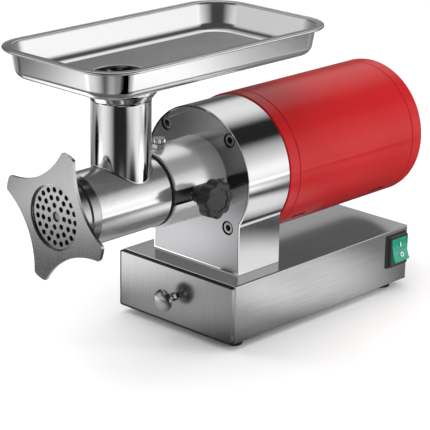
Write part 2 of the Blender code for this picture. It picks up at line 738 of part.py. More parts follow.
def output_drive():
    axis = (0, 0, AXIS_Z)
    profile = [
        (0, 0.0665),
        (0.0072, 0.0665),
        (0.0072, 0.0590),
        (OUTPUT_SHAFT_RADIUS, 0.0590),
        (OUTPUT_SHAFT_RADIUS, SOCKET_END - GAP),
        (0.0170, SOCKET_END - GAP),
        (0.0170, -0.0012),
        (0.0162, -0.0020),
        (0, -0.0020),
    ]
    shaft = piece("output_shaft", lathe(profile, "Y", axis, INNER_ROUND), "machined_steel", axis)
    cut(shaft, prism(square(TANG_HALF + 0.0004), "Y", -0.004, 0.0112, axis))
    seal = tube(SEAL_SEAT_RADIUS - GAP, OUTPUT_SHAFT_RADIUS + 0.0004, 0.0156, 0.0204, "Y", axis, INNER_ROUND)
    piece("shaft_seal", seal, "black_rubber", axis)
    bearing("output_front_bearing", OUTPUT_SEAT_RADIUS, OUTPUT_SHAFT_RADIUS + GAP, 0.0211, 0.0331, axis)
    bearing("output_rear_bearing", 0.0140, 0.0075, 0.0601, 0.0669, axis)
    gear = prism(gear_outline(OUTPUT_TEETH, math.radians(-90)), "Y", 0.0430, 0.0570, axis)
    wheel = piece("output_gear", gear, "gear_steel", axis)
    cut(wheel, rod(OUTPUT_SHAFT_RADIUS + GAP, 0.040, 0.060, "Y", axis, INNER_ROUND))


def layshaft():
    centre = (0, 0, LAYSHAFT_Z)
    profile = [
        (0, 0.0900),
        (0.0048, 0.0900),
        (0.0048, 0.0828),
        (0.0078, 0.0828),
        (0.0078, 0.0425),
        (0.0048, 0.0425),
        (0.0048, 0.0345),
        (0, 0.0345),
    ]
    shaft = piece("layshaft", lathe(profile, "Y", centre, INNER_ROUND), "gear_steel", centre)
    pinion = gear_outline(PINION_TEETH, math.radians(90) + math.pi / PINION_TEETH)
    join(shaft, prism(pinion, "Y", 0.0427, 0.0573, centre))
    gear = gear_outline(REDUCTION_TEETH, math.radians(90) + math.pi / REDUCTION_TEETH)
    wheel = piece("reduction_gear", prism(gear, "Y", 0.0700, 0.0815, centre), "gear_steel", centre)
    cut(wheel, rod(0.0081, 0.060, 0.090, "Y", centre, INNER_ROUND))
    sizes = (SMALL_BEARING_RADIUS, 0.0050)
    bearing("layshaft_front_bearing", *sizes, PLATE_REAR - 0.0057, PLATE_REAR - 0.0002, centre)
    bearing("layshaft_rear_bearing", *sizes, 0.0843, 0.0899, centre)

    web = piece(
        "bearing_plate",
        prism(housing_outline(HOUSING_WALL + GAP, BASE_TOP + 0.008), "Y", 0.0600, 0.0670),
        "cast_aluminium",
    )
    cut(
        web,
        rod(0.0143, 0.050, 0.070, "Y", (0, 0, AXIS_Z), INNER_ROUND),
        rod(0.0100, 0.050, 0.070, "Y", centre, INNER_ROUND),
    )
    for x, z in COVER_SCREWS:
        for across in (x, 1.18 * x):
            cut(web, rod(SCREW_BOSS_RADIUS + 0.0004, 0.050, 0.070, "Y", (across, 0, z)))


def motor():
    axis = (0, 0, AXIS_Z)
    inner = MOTOR_RADIUS - MOTOR_SHELL
    front = [
        (MOTOR_RADIUS - 0.001, MOTOR_FRONT),
        (0.0300, MOTOR_FRONT),
        (0.0300, MOTOR_FRONT + 0.006),
        (inner - 0.002, MOTOR_FRONT + 0.006),
        (inner - 0.002, FRONT_SEAM - 0.0002),
        (MOTOR_RADIUS, FRONT_SEAM - 0.0002),
        (MOTOR_RADIUS, MOTOR_FRONT + 0.001),
    ]
    piece("motor_front_ring", lathe(front, "Y", axis, MOTOR_ROUND), "red_paint", axis)
    skin = tube(MOTOR_RADIUS, inner, FRONT_SEAM + 0.0002, REAR_SEAM - 0.0002, "Y", axis, MOTOR_ROUND)
    shell = piece("motor_shell", skin, "red_paint")
    reach = Vector((0.0055, VENT_HALF_LENGTH, VENT_HALF_HEIGHT))
    for side in (-1, 1):
        for y in VENT_ROWS:
            x = side * MOTOR_RADIUS * math.cos(VENT_ANGLE)
            middle = Vector((x, y, AXIS_Z - MOTOR_RADIUS * math.sin(VENT_ANGLE)))
            cut(shell, box(middle - reach, middle + reach))
    cap = [
        (0.0088, 0.3020),
        (0.0175, 0.3020),
        (0.0175, 0.2965),
        (0.0215, 0.2965),
        (0.0215, 0.3060),
        (inner - 0.003, 0.3060),
        (inner - 0.003, REAR_SEAM + 0.0002),
        (MOTOR_RADIUS, REAR_SEAM + 0.0002),
        (MOTOR_RADIUS, MOTOR_REAR - 0.0040),
        (MOTOR_RADIUS - 0.0012, MOTOR_REAR - 0.0012),
        (MOTOR_RADIUS - 0.0040, MOTOR_REAR),
        (0, MOTOR_REAR),
        (0, 0.3084),
        (0.0088, 0.3084),
    ]
    rear = piece("motor_rear_cap", lathe(cap, "Y", axis, MOTOR_ROUND), "red_paint")
    for row in (-2, -1, 0, 1, 2):
        length = LOUVRE_LENGTH - 0.006 * abs(row)
        z = AXIS_Z + LOUVRE_PITCH * row
        for side in (-1, 1):
            near, far = sorted((side * 0.0235, side * (0.0235 + length)))
            cut(rear, box((near, 0.300, z - 0.0018), (far, 0.320, z + 0.0018)))

    stator = tube(inner - 0.0005, ROTOR_RADIUS + 0.0006, CORE_FRONT, CORE_REAR, "Y", axis, INNER_ROUND)
    piece("stator_core", stator, "laminated_steel", axis)
    for name, low, high in (
        ("winding_front", 0.1150, CORE_FRONT - GAP),
        ("winding_rear", CORE_REAR + GAP, 0.2650),
    ):
        coil = [
            (0.0640, low + 0.004),
            (0.0600, low),
            (0.0460, low),
            (0.0460, high),
            (0.0600, high),
            (0.0640, high - 0.004),
        ]
        piece(name, lathe(coil, "Y", axis, INNER_ROUND), "copper_winding", axis)
    core = tube(ROTOR_RADIUS, ROTOR_SHAFT_RADIUS + GAP, CORE_FRONT, CORE_REAR, "Y", axis, INNER_ROUND)
    piece("rotor_core", core, "laminated_steel", axis)
    shaft = [
        (0, 0.3030),
        (0.0085, 0.3030),
        (0.0085, 0.2900),
        (ROTOR_SHAFT_RADIUS, 0.2900),
        (ROTOR_SHAFT_RADIUS, 0.0960),
        (0.0085, 0.0960),
        (0.0085, 0.0825),
        (0.0070, 0.0825),
        (0.0070, 0.0695),
        (0, 0.0695),
    ]
    rotor = piece("rotor_shaft", lathe(shaft, "Y", axis, INNER_ROUND), "machined_steel", axis)
    join(rotor, prism(gear_outline(MOTOR_TEETH, math.radians(-90)), "Y", 0.0693, 0.0827, axis))
    bearing("motor_front_bearing", 0.0175, 0.0088, 0.0842, 0.0925, axis)
    bearing("motor_rear_bearing", 0.0172, 0.0088, 0.2968, 0.3018, axis)
    hub = tube(0.0180, ROTOR_SHAFT_RADIUS + GAP, 0.2700, 0.2840, "Y", axis, INNER_ROUND)
    fan = piece("cooling_fan", hub, "black_plastic", axis)
    for blade in range(FAN_BLADES):
        shape = box((0.0165, 0.2705, -0.0010), (0.0600, 0.2835, 0.0010))
        turn = Matrix.Rotation(2 * math.pi * blade / FAN_BLADES, 4, "Y")
        bmesh.ops.transform(shape, matrix=Matrix.Translation(axis) @ turn, verts=shape.verts)
        join(fan, shape)


# ---------------------------------------------------------------- grinding head


def head():
    axis = (0, 0, AXIS_Z)
    outside = [
        (0, SPIGOT_END),
        (SPIGOT_RADIUS - 0.0010, SPIGOT_END),
        (SPIGOT_RADIUS, SPIGOT_END - 0.0010),
        (SPIGOT_RADIUS, BARREL_REAR),
        (BARREL_RADIUS - 0.0028, BARREL_REAR),
        (BARREL_RADIUS - 0.0008, BARREL_REAR - 0.0008),
        (BARREL_RADIUS, BARREL_REAR - 0.0028),
        (BARREL_RADIUS - 0.0003, THREAD_END + 0.0008),
        (BARREL_RADIUS - 0.0011, THREAD_END),
        (THREAD_RADIUS, THREAD_END),
        (THREAD_RADIUS, BARREL_FRONT + 0.0008),
        (THREAD_RADIUS - 0.0008, BARREL_FRONT),
        (0, BARREL_FRONT),
    ]
    barrel = piece("head_barrel", lathe(outside, "Y", axis), "polished_steel")
    cup_start, cup_top = BASE_TOP + CUP_START, BASE_TOP + CUP_TOP
    throat = [
        (0, cup_top),
        (CUP_RADIUS - 0.0008, cup_top),
        (CUP_RADIUS, cup_top - 0.0008),
        (CUP_RADIUS, cup_start + 0.0105),
        (CUP_RADIUS - 0.0010, cup_start + 0.0072),
        (THROAT_RADIUS + 0.0012, cup_start + 0.0020),
        (THROAT_RADIUS, cup_start),
        (THROAT_RADIUS, AXIS_Z + 0.010),
        (0, AXIS_Z + 0.010),
    ]
    join(barrel, lathe(throat, "Z", (0, THROAT_Y, 0)))
    chamber = [
        (0, -0.0440),
        (CHAMBER_RADIUS, -0.0440),
        (CHAMBER_RADIUS, -0.1445),
        (SEAT_RADIUS, -0.1445),
        (SEAT_RADIUS, BARREL_FRONT - 0.002),
        (0, BARREL_FRONT - 0.002),
    ]
    bore = [
        (0, cup_top + 0.002),
        (CUP_BORE, cup_top + 0.002),
        (CUP_BORE, cup_start + 0.0108),
        (THROAT_BORE, cup_start + 0.0065),
        (THROAT_BORE, AXIS_Z),
        (0, AXIS_Z),
    ]
    cut(
        barrel,
        lathe(bore, "Z", (0, THROAT_Y, 0), ROUND),
        lathe(chamber, "Y", axis, ROUND),
        rod(0.0125, -0.050, 0.010, "Y", axis, INNER_ROUND),
    )
    gasket = [
        (0.0386, NECK_FRONT - 0.0024),
        (SPIGOT_RADIUS + GAP, NECK_FRONT - 0.0024),
        (SPIGOT_RADIUS + GAP, NECK_FRONT - GAP),
        (0.0386, NECK_FRONT - GAP),
    ]
    piece("head_gasket", lathe(gasket, "Y", axis, INNER_ROUND), "black_rubber", axis)


def auger():
    axis = (0, 0, AXIS_Z)
    core = [
        (0, SPIGOT_END),
        (0.0112, SPIGOT_END),
        (0.0122, SPIGOT_END - 0.001),
        (0.0122, -0.0450),
        (AUGER_CORE, -0.0450),
        (AUGER_CORE - 0.0020, -0.1440),
        (0.0048, -0.1440),
        (0.0048, -0.1600),
        (0, -0.1600),
    ]
    worm = piece("auger", lathe(core, "Y", axis, INNER_ROUND), "tinned_iron", axis)
    join(worm, helical_flight(-0.1400, -0.0500, AUGER_PITCH, 14))
    join(worm, prism(square(KNIFE_SQUARE_HALF), "Y", -0.1530, -0.1435, axis))
    join(worm, prism(square(TANG_HALF), "Y", SPIGOT_END - 0.001, 0.0100, axis))

    knife = piece("knife", rod(0.0115, KNIFE_FRONT, KNIFE_REAR, "Y", axis, INNER_ROUND), "machined_steel", axis)
    for blade in range(4):
        outline = [(0.0060, -0.0062), (0.0200, -0.0072), (0.0305, -0.0030), (0.0318, 0.0016)]
        outline += [(0.0215, 0.0000), (0.0060, 0.0062)]
        shape = prism(outline, "Y", KNIFE_FRONT, KNIFE_FRONT + 0.0050)
        turn = Matrix.Rotation(math.pi * blade / 2, 4, "Y")
        bmesh.ops.transform(shape, matrix=Matrix.Translation(axis) @ turn, verts=shape.verts)
        join(knife, shape)
    cut(knife, prism(square(KNIFE_SQUARE_HALF + 0.0004), "Y", -0.16, -0.14, axis))


def helical_flight(low, high, pitch, steps_per_turn):
    """A flight that winds round the auger axis, thick at its root and thin at its tip."""
    shape = bmesh.new()
    turns = (high - low) / pitch
    steps = round(turns * steps_per_turn)
    sections = []
    for step in range(steps + 1):
        share = step / steps
        angle = 2 * math.pi * turns * share
        middle = low + (high - low) * share
        tip = AUGER_RADIUS
        section = []
        for radius, offset in ((0.0095, -0.0038), (tip, -0.0018), (tip, 0.0018), (0.0095, 0.0038)):
            section.append(
                shape.verts.new((radius * math.cos(angle), middle + offset, AXIS_Z + radius * math.sin(angle)))
            )
        sections.append(section)
    for first, second in zip(sections, sections[1:]):
        for side in range(4):
            after = (side + 1) % 4
            shape.faces.new((first[side], first[after], second[after], second[side]))
    shape.faces.new(sections[0])
    shape.faces.new(sections[-1])
    return shape


def grinder_plate():
    axis = (0, 0, AXIS_Z)
    low, high = GRINDER_PLATE_FRONT, GRINDER_PLATE_REAR
    disc = [
        (0, high),
        (PLATE_RADIUS, high),
        (PLATE_RADIUS, low + 0.0006),
        (PLATE_RADIUS - 0.0006, low),
        (0, low),
    ]
    plate = piece("grinder_plate", lathe(disc, "Y", axis, ROUND), "machined_steel", axis)
    cut(plate, rod(0.0052, low - 0.001, high + 0.001, "Y", axis, BEARING_ROUND))
    for count, radius in PLATE_RINGS:
        for hole in range(count):
            angle = 2 * math.pi * hole / count
            centre = (radius * math.cos(angle), 0, AXIS_Z + radius * math.sin(angle))
            cut(plate, rod(PLATE_HOLE_RADIUS, low - 0.001, high + 0.001, "Y", centre, HOLE_ROUND))


def star_outline():
    """Four blunt tips with a hollow arc between each two."""
    half_tip = math.asin(STAR_TIP_WIDTH / 2 / STAR_TIP_RADIUS)
    points = []
    for tip in range(4):
        middle = STAR_TURN + tip * math.pi / 2
        for share in (-1, -0.6, 0, 0.6, 1):
            radius = STAR_TIP_RADIUS - 0.0012 * share**4
            angle = middle + share * half_tip
            points.append((radius * math.cos(angle), radius * math.sin(angle)))
        start = Vector(points[-1])
        ahead = middle + math.pi / 2 - half_tip
        tip_radius = STAR_TIP_RADIUS - 0.0012
        end = Vector((tip_radius * math.cos(ahead), tip_radius * math.sin(ahead)))
        half_chord = (end - start).length / 2
        between = middle + math.pi / 4
        outward = Vector((math.cos(between), math.sin(between)))
        sag = ((start + end) / 2).dot(outward) - STAR_WAIST_RADIUS
        radius = (half_chord**2 + sag**2) / (2 * sag)
        centre = outward * (STAR_WAIST_RADIUS + radius)
        first = math.atan2(*(start - centre).yx)
        last = math.atan2(*(end - centre).yx)
        sweep = (last - first + math.pi) % (2 * math.pi) - math.pi
        for step in range(1, 10):
            angle = first + sweep * step / 10
            points.append((centre.x + radius * math.cos(angle), centre.y + radius * math.sin(angle)))
    return points


def ring_nut():
    axis = (0, 0, AXIS_Z)
    back = RING_FRONT + RING_PLATE
    nut = piece("ring_nut", prism(star_outline(), "Y", RING_FRONT, back, axis), "satin_steel", axis)
    body = [
        (0, RING_NUT_END),
        (RING_NUT_RADIUS - 0.0010, RING_NUT_END),
        (RING_NUT_RADIUS, RING_NUT_END - 0.0010),
        (RING_NUT_RADIUS, -0.1480),
        (RING_NUT_RADIUS - 0.0016, -0.1496),
        (RING_NUT_RADIUS - 0.0016, back - 0.001),
        (0, back - 0.001),
    ]
    join(nut, lathe(body, "Y", axis))
    inside = [
        (0, RING_NUT_END + 0.002),
        (RING_NUT_BORE, RING_NUT_END + 0.002),
        (RING_NUT_BORE, back),
        (RING_OPENING, back),
        (RING_OPENING, RING_FRONT + 0.0012),
        (RING_OPENING + 0.0012, RING_FRONT - 0.0001),
        (RING_OPENING + 0.0012, RING_FRONT - 0.002),
        (0, RING_FRONT - 0.002),
    ]
    cut(nut, lathe(inside, "Y", axis))


# ---------------------------------------------------------------- feed tray


def tray_profile():
    """The sheet's cross-section: (inset from the rim's edge, height above the floor's underside), from the
    underside of the floor, up the outside, over the rolled rim and down the inside."""
    depth, sheet = TRAY_DEPTH, TRAY_SHEET
    bend = 0.0110
    wall = 0.0115
    outer = [(wall + bend - bend * math.sin(a), bend - bend * math.cos(a)) for a in (0, 0.5, 1.0, 1.45)]
    bead = 0.0016
    rim = [(0.0090, depth - 0.0042), (0.0082, depth - 0.0018), (2 * bead + 0.0004, depth - 0.0018)]
    for angle in (-1.0, -2.1, -3.14, 2.1, 1.0):
        rim.append((bead + bead * math.cos(angle), depth - bead + bead * math.sin(angle)))
    rim += [(2 * bead + 0.0010, depth - 0.0003), (0.0090, depth - 0.0003), (0.0104, depth - 0.0020)]
    inner_bend = bend - sheet
    inner_wall = wall + sheet
    inner = [
        (inner_wall + inner_bend - inner_bend * math.sin(a), bend - inner_bend * math.cos(a))
        for a in (1.45, 1.0, 0.5, 0)
    ]
    return outer + rim + inner


def tray():
    shape = bmesh.new()
    loops = []
    for inset, height in tray_profile():
        outline = rounded_rectangle(
            (-TRAY_HALF_WIDTH + inset, TRAY_FRONT + inset),
            (TRAY_HALF_WIDTH - inset, TRAY_REAR - inset),
            TRAY_CORNER - inset,
            5,
        )
        loops.append([shape.verts.new((x, y, TRAY_FLOOR + height)) for x, y in outline])
    for first, second in zip(loops, loops[1:]):
        for index in range(len(first)):
            after = (index + 1) % len(first)
            shape.faces.new((first[index], first[after], second[after], second[index]))
    shape.faces.new(loops[0])
    shape.faces.new(loops[-1])
    pan = piece("feed_tray", shape, "polished_steel")
    cut(pan, rod(0.0300, TRAY_FLOOR - 0.01, TRAY_FLOOR + 0.01, "Z", (0, THROAT_Y, 0), ROUND))
    collar = [
        (0.0296, TRAY_FLOOR + 0.0030),
        (0.0278, TRAY_FLOOR + 0.0030),
        (0.0278, TRAY_FLOOR + 0.0004),
        (0.0312, TRAY_FLOOR - 0.0050),
        (0.0312, TRAY_FLOOR - 0.0090),
        (0.0328, TRAY_FLOOR - 0.0090),
        (0.0328, TRAY_FLOOR - GAP),
        (0.0296, TRAY_FLOOR - GAP),
    ]
    piece("tray_collar", lathe(collar, "Z", (0, THROAT_Y, 0), INNER_ROUND), "polished_steel")


def main():
    for leftover in list(bpy.data.objects):
        bpy.data.objects.remove(leftover)
    holder = bpy.data.objects.new("meat_grinder", None)
    bpy.context.scene.collection.objects.link(holder)
    holder.location = (-MIDDLE_X, -MIDDLE_Y, 0)
    base()
    drawer()
    electrics()
    switch()
    gearbox_housing()
    gearbox_cover()
    cover_screws()
    clamp()
    oil_plug()
    output_drive()
    layshaft()
    motor()
    head()
    auger()
    grinder_plate()
    ring_nut()
    tray()


main()
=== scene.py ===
"""Looks of the electric meat grinder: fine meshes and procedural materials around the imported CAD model.

Lengths are in metres. Pieces are laid out in the same bench coordinates as the CAD: x from the auger
axis, y from the drawer front and z from the floor. placed() moves each finished mesh into the frame.
"""

import json
import math

import bmesh
import bpy
from mathutils import Matrix, Vector

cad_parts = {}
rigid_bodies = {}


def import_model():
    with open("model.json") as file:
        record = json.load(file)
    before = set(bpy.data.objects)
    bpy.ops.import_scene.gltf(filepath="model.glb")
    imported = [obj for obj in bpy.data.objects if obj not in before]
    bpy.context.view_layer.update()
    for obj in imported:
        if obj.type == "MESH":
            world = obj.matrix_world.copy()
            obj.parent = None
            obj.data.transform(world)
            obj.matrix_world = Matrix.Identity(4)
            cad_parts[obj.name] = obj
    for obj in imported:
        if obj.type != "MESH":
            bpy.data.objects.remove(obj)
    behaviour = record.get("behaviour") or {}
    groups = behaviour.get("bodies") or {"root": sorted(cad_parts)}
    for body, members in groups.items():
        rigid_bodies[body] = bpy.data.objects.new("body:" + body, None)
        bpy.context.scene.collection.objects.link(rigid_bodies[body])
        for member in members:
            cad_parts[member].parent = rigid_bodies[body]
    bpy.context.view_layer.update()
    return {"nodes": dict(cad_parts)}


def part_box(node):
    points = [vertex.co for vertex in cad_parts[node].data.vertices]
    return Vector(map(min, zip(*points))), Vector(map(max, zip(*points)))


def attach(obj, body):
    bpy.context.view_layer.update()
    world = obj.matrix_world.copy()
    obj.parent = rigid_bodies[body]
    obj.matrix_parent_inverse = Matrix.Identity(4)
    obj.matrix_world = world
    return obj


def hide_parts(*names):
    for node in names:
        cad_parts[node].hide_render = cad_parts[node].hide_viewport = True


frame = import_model()
NODES = frame["nodes"]

# Bench origin, found from the frame
SHELL_LOW, SHELL_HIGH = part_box("motor_shell")
AXIS_X = (SHELL_LOW.x + SHELL_HIGH.x) / 2
AXIS_Z = (SHELL_LOW.z + SHELL_HIGH.z) / 2
BENCH = Vector((AXIS_X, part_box("drawer_front")[0].y, 0))

# Fineness
FINE = 144  # sides of a large round piece
MEDIUM = 72  # sides of a middling round piece
SMALL = 36  # sides of a small round piece
BEND_STEPS = 4  # faces round a softened edge
SHARP_ANGLE = math.radians(32)

# Base
BASE_HALF = 0.0810
BASE_LENGTH = 0.2850
BASE_BOTTOM = 0.0080
BASE_TOP = 0.0705
BASE_MIDDLE = 0.03925
BASE_FRONT = 0.0060
SHEET = 0.0020
FOOT_X = 0.0660
FOOT_FRONT = 0.0220
FOOT_REAR = 0.2630

# Drawer
SEAL = 0.0013  # the seal's width above the panel; it is wider on the left and below
SEAL_SHADE_SHARE = 1.6  # how much wider it is there; the extra width is painted shade, for the shadow under the panel and the dark reflection at its left edge
SEAL_FACE = 0.0003
PANEL_DEPTH = 0.0055
KNOB_FACE = -0.0225
KNOB_RADIUS = 0.0120
KNOB_STUD_RADIUS = 0.0025
KNOB_NUT_RADIUS = 0.0046

# Switch
SWITCH_Y = 0.2635
SWITCH_Z = 0.0470
ROCKER_X = 0.0795
ROCKER_TILT = -12  # degrees
ROCKER_BEND = 7.5  # degrees from the rocker's middle to the middle of each half
ROCKER_HALF_WIDTH = 0.0125
ROCKER_HALF_HEIGHT = 0.0130
ROCKER_FACE = 0.0113

# Gearbox
NECK_FRONT = -0.0380
NECK_RADIUS_FRONT = 0.0400
NECK_RADIUS_REAR = 0.0422
SOCKET_RADIUS = 0.0295
SOCKET_END = 0.0143
PLATE_FRONT = 0.0317
PLATE_REAR = 0.0397
HOUSING_REAR = 0.0927
HOUSING_RADIUS = 0.0732
HOUSING_RIM = 0.0015
HOUSING_WALL = 0.0040
LEG_HALF_WIDTH = 0.0613
LEG_FILLET = 0.0080
SCREW_X = 0.0445
SCREW_Z = 0.0465
SCREWS = [(sx * SCREW_X, AXIS_Z + sz * SCREW_Z) for sz in (1, -1) for sx in (-1, 1)]
SCREW_RADIUS = 0.0040
SCREW_HEAD_RADIUS = 0.0063
SCREW_POCKET_RADIUS = 0.0076
SCREW_SOCKET_RADIUS = 0.0037
NECK_SEAT_RADIUS = 0.0384
LAYSHAFT_Z = AXIS_Z - 0.0360
LAYSHAFT_BEARING_RADIUS = 0.0113
OUTPUT_HOLE_RADIUS = 0.0178

# Clamp and oil plug
SLOT_HALF_HEIGHT = 0.0077
SLOT_FLOOR = 0.0370
CLAMP_Y = -0.0120
CLAMP_RADIUS = 0.0198
CLAMP_LOBES = 8
CLAMP_LOBE_DEPTH = 0.0024
CLAMP_BACK = 0.0595
CLAMP_FACE = 0.0743
STUD_RADIUS = 0.0040
STUD_HOLE_RADIUS = 0.0043
OIL_PLUG_Y = -0.0240
PLUG_HEX_RADIUS = 0.0066
PLUG_CAP_RADIUS = 0.0070

# Motor
MOTOR_RADIUS = 0.0751
MOTOR_FRONT = 0.0930
MOTOR_REAR = 0.3123
FRONT_SEAM = 0.1082
REAR_SEAM = 0.2940
MOTOR_WALL = 0.0020
SEAM_EDGE = 0.0009
SEAM_GAP = 0.0002
VENT_ANGLE = math.radians(46)
VENTS_Y = (0.133, 0.263)
LOUVRE_PITCH = 0.013

# Head
BARREL_RADIUS = 0.0372
BARREL_REAR = -0.0410
BARREL_FRONT = -0.1580
THREAD_END = -0.1365
THREAD_RADIUS = 0.0361
SPIGOT_RADIUS = 0.0291
SPIGOT_END = -0.0027
CHAMBER_RADIUS = 0.0290
THROAT_Y = -0.0761
THROAT_RADIUS = 0.0300
THROAT_BORE = 0.0265
THROAT_BLEND = 0.0019
CUP_RADIUS = 0.0358
CUP_START = BASE_TOP + 0.1955
CUP_TOP = BASE_TOP + 0.2180
CUP_BORE = 0.0335
MOUTH_RADIUS = 0.0338
GASKET_RADIUS = 0.0378
RING_FRONT = -0.1656
RING_BACK = -0.1621
RING_END = -0.1370
STAR_TIP_RADIUS = 0.0695
STAR_TIP_WIDTH = 0.0170
STAR_WAIST_RADIUS = 0.0425
STAR_TURN = math.radians(72.5)
STAR_TIP_DROP = 0.0012
RING_RADIUS = 0.0390
RING_BORE = 0.0374
RING_WINDOW = 0.0314
THREAD_PITCH = 0.0020

# Auger, knife and mincing plate
FLIGHT_RADIUS = 0.0280
FLIGHT_PITCH = 0.0280
FLIGHT_FRONT = -0.1400
FLIGHT_REAR = -0.0500
SQUARE = math.sqrt(2)  # a square's corner radius over its half width
KNIFE_FRONT = -0.1542
KNIFE_REAR = -0.1462
KNIFE_HUB = 0.0115
MINCER_FRONT = -0.1618
MINCER_REAR = -0.1548
MINCER_RADIUS = 0.0335
HOLE_CIRCLES = ((1, 0.0), (7, 0.0112), (13, 0.0190), (19, 0.0268))  # holes, radius of their circle
HOLE_RADIUS = 0.0028
PIN_HOLE_RADIUS = 0.0052

# Feed tray
TRAY_HALF_WIDTH = 0.0880
TRAY_FRONT = -0.1750
TRAY_REAR = 0.1490
TRAY_CORNER = 0.0430
TRAY_DEPTH = 0.0313
TRAY_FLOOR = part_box("feed_tray")[0].z
TRAY_SHEET = 0.0015
TRAY_BEND = 0.0110
TRAY_WALL = 0.0115
TRAY_BEAD = 0.0016
TRAY_HOLE = 0.0300
BEND_ANGLES = (0, 0.2, 0.5, 0.8, 1.1, 1.3, 1.45)  # radians up the bend between floor and wall

# Camera, placed to match the reference view
CAMERA_AZIMUTH = math.radians(43.3)
CAMERA_ELEVATION = math.radians(18.7)
CAMERA_ROLL = math.radians(1.0)
CAMERA_DISTANCE = 2.0594
CAMERA_TARGET = Vector((-0.0425, 0.0335, 0.0949))
CAMERA_LENS = 159.9
CAMERA_SENSOR = 36.0

# Studio. Reflections see a bright room and a card of light in place of the floor.
LOW_WALL = (
    (180, 0.14), (140, 0.18), (123, 0.24), (109, 0.36), (97, 0.50), (86, 0.68), (76, 0.88), (66, 0.96),
    (58, 0.88), (49, 0.73), (41, 0.56), (33, 0.38), (26, 0.16), (21, 0.0), (0, 0.0),
)  # degrees away from the camera's side, brightness
WALL_TOP = 0.40  # height of a direction where the low wall has faded
WALL_FOOT = -0.06
ROOM_LEVEL = 0.02
# Soft lights: azimuth, elevation, inner and outer angle in degrees, strength
GLOWS = (
    (121, 40, 2, 32, 0.85),
    (45, 10, 2, 28, 0.62),
    (-135, 20, 3, 20, 0.50),
    (150, 62, 8, 34, 0.45),
)
CARD_LEVEL = 0.06
CARD_SIZE = 1.5
CARD_HEIGHT = 0.0004
CARD_FADE = (0.5, 0.8)  # radii between which the card's own level fades
# Pools of light on the card: x, y, inner and outer radius, strength
POOLS = (
    (-0.245, -0.150, 0.04, 0.190, 1.75),
    (-0.060, -0.090, 0.03, 0.150, 0.55),
    (-0.400, -0.600, 0.03, 0.200, 1.00),
    (0.185, 0.215, 0.04, 0.150, 0.80),
    (0.170, 0.090, 0.02, 0.120, 0.35),
    (0.180, 0.370, 0.02, 0.120, 0.20),
    (0.500, 0.340, 0.05, 0.210, 0.95),
    (0.700, 0.730, 0.08, 0.240, 0.60),
    (0.380, -0.420, 0.03, 0.200, 0.45),
    (1.450, -0.400, 0.35, 0.620, 0.60),
    (-1.250, 0.300, 0.30, 0.700, 0.50),
)
# Places where the card hides the low wall behind it: x, y, inner and outer radius, share hidden
SHADES = (
    (-0.050, 0.000, 0.450, 0.700, 1.00),
    (0.490, 0.700, 0.050, 0.150, 1.00),
    (0.580, -0.090, 0.080, 0.250, 1.00),
    (-0.630, -0.510, 0.110, 0.210, 1.00),
)
# Pieces that the steel does not mirror, besides the base and what stands in it
UNMIRRORED = ("red_front_ring", "red_shell", "red_rear_cap", "star_ring", "meat_pan")
FOOT_TOP = 0.012
# Area lights: name, place, size, power in watts
LIGHTS = (
    ("side_box", (1.6, 1.2, 0.55), (0.5, 1.2), 16),
    ("top_box", (-0.2, -0.2, 1.8), (1.4, 1.4), 12),
    ("left_box", (-1.7, -0.9, 0.9), (0.8, 1.2), 10),
)
LIGHT_TARGET = (0, 0, 0.15)


# ---------------------------------------------------------------- shapes


def along(axis, across, up, height):
    """The point at (across, up) in the plane that the axis crosses at this height."""
    if axis == "X":
        return Vector((height, across, up))
    if axis == "Y":
        return Vector((across, height, up))
    return Vector((across, up, height))


def softened(points, steps=BEND_STEPS):
    """A closed outline in which each (a, b, radius) corner becomes an arc and each (a, b) corner stays."""
    outline = []
    for index, point in enumerate(points):
        here = Vector(point[:2])
        if len(point) == 2:
            outline.append(tuple(here))
            continue
        before = Vector(points[index - 1][:2]) - here
        after = Vector(points[(index + 1) % len(points)][:2]) - here
        half = before.angle(after) / 2
        reach = min(point[2] / math.tan(half), 0.49 * before.length, 0.49 * after.length)
        radius = reach * math.tan(half)
        middle = here + (before.normalized() + after.normalized()).normalized() * radius / math.sin(half)
        first = here + before.normalized() * reach - middle
        last = here + after.normalized() * reach - middle
        start = math.atan2(first.y, first.x)
        sweep = (math.atan2(last.y, last.x) - start + math.pi) % (2 * math.pi) - math.pi
        for step in range(steps + 1):
            angle = start + sweep * step / steps
            outline.append((middle.x + radius * math.cos(angle), middle.y + radius * math.sin(angle)))
    return outline


def arc(centre, radius, first, last, steps):
    """Points on an arc between two angles in degrees, both ends included."""
    points = []
    for step in range(steps + 1):
        angle = math.radians(first + (last - first) * step / steps)
        points.append((centre[0] + radius * math.cos(angle), centre[1] + radius * math.sin(angle)))
    return points


def lathe(profile, axis, centre, steps=FINE, start=0.0):
    """A solid turned from a closed loop of (radius, height) or (radius, height, corner radius) points."""
    shape = bmesh.new()
    rings = []
    for radius, height in softened(profile):
        if radius <= 1e-7:
            pole = shape.verts.new(along(axis, 0, 0, height) + Vector(centre))
            rings.append([pole] * steps)
            continue
        ring = []
        for step in range(steps):
            angle = start + 2 * math.pi * step / steps
            point = along(axis, radius * math.cos(angle), radius * math.sin(angle), height)
            ring.append(shape.verts.new(point + Vector(centre)))
        rings.append(ring)
    for first, second in zip(rings, rings[1:] + rings[:1]):
        bridge(shape, first, second)
    return shape


def bridge(shape, first, second):
    """Faces between two closed rings of as many vertices."""
    count = len(first)
    for step in range(count):
        after = (step + 1) % count
        corners = dict.fromkeys((first[step], first[after], second[after], second[step]))
        if len(corners) > 2:
            shape.faces.new(list(corners))


def rod(radius, low, high, axis, centre, steps=SMALL, start=0.0):
    return lathe([(0, high), (radius, high), (radius, low), (0, low)], axis, centre, steps, start)


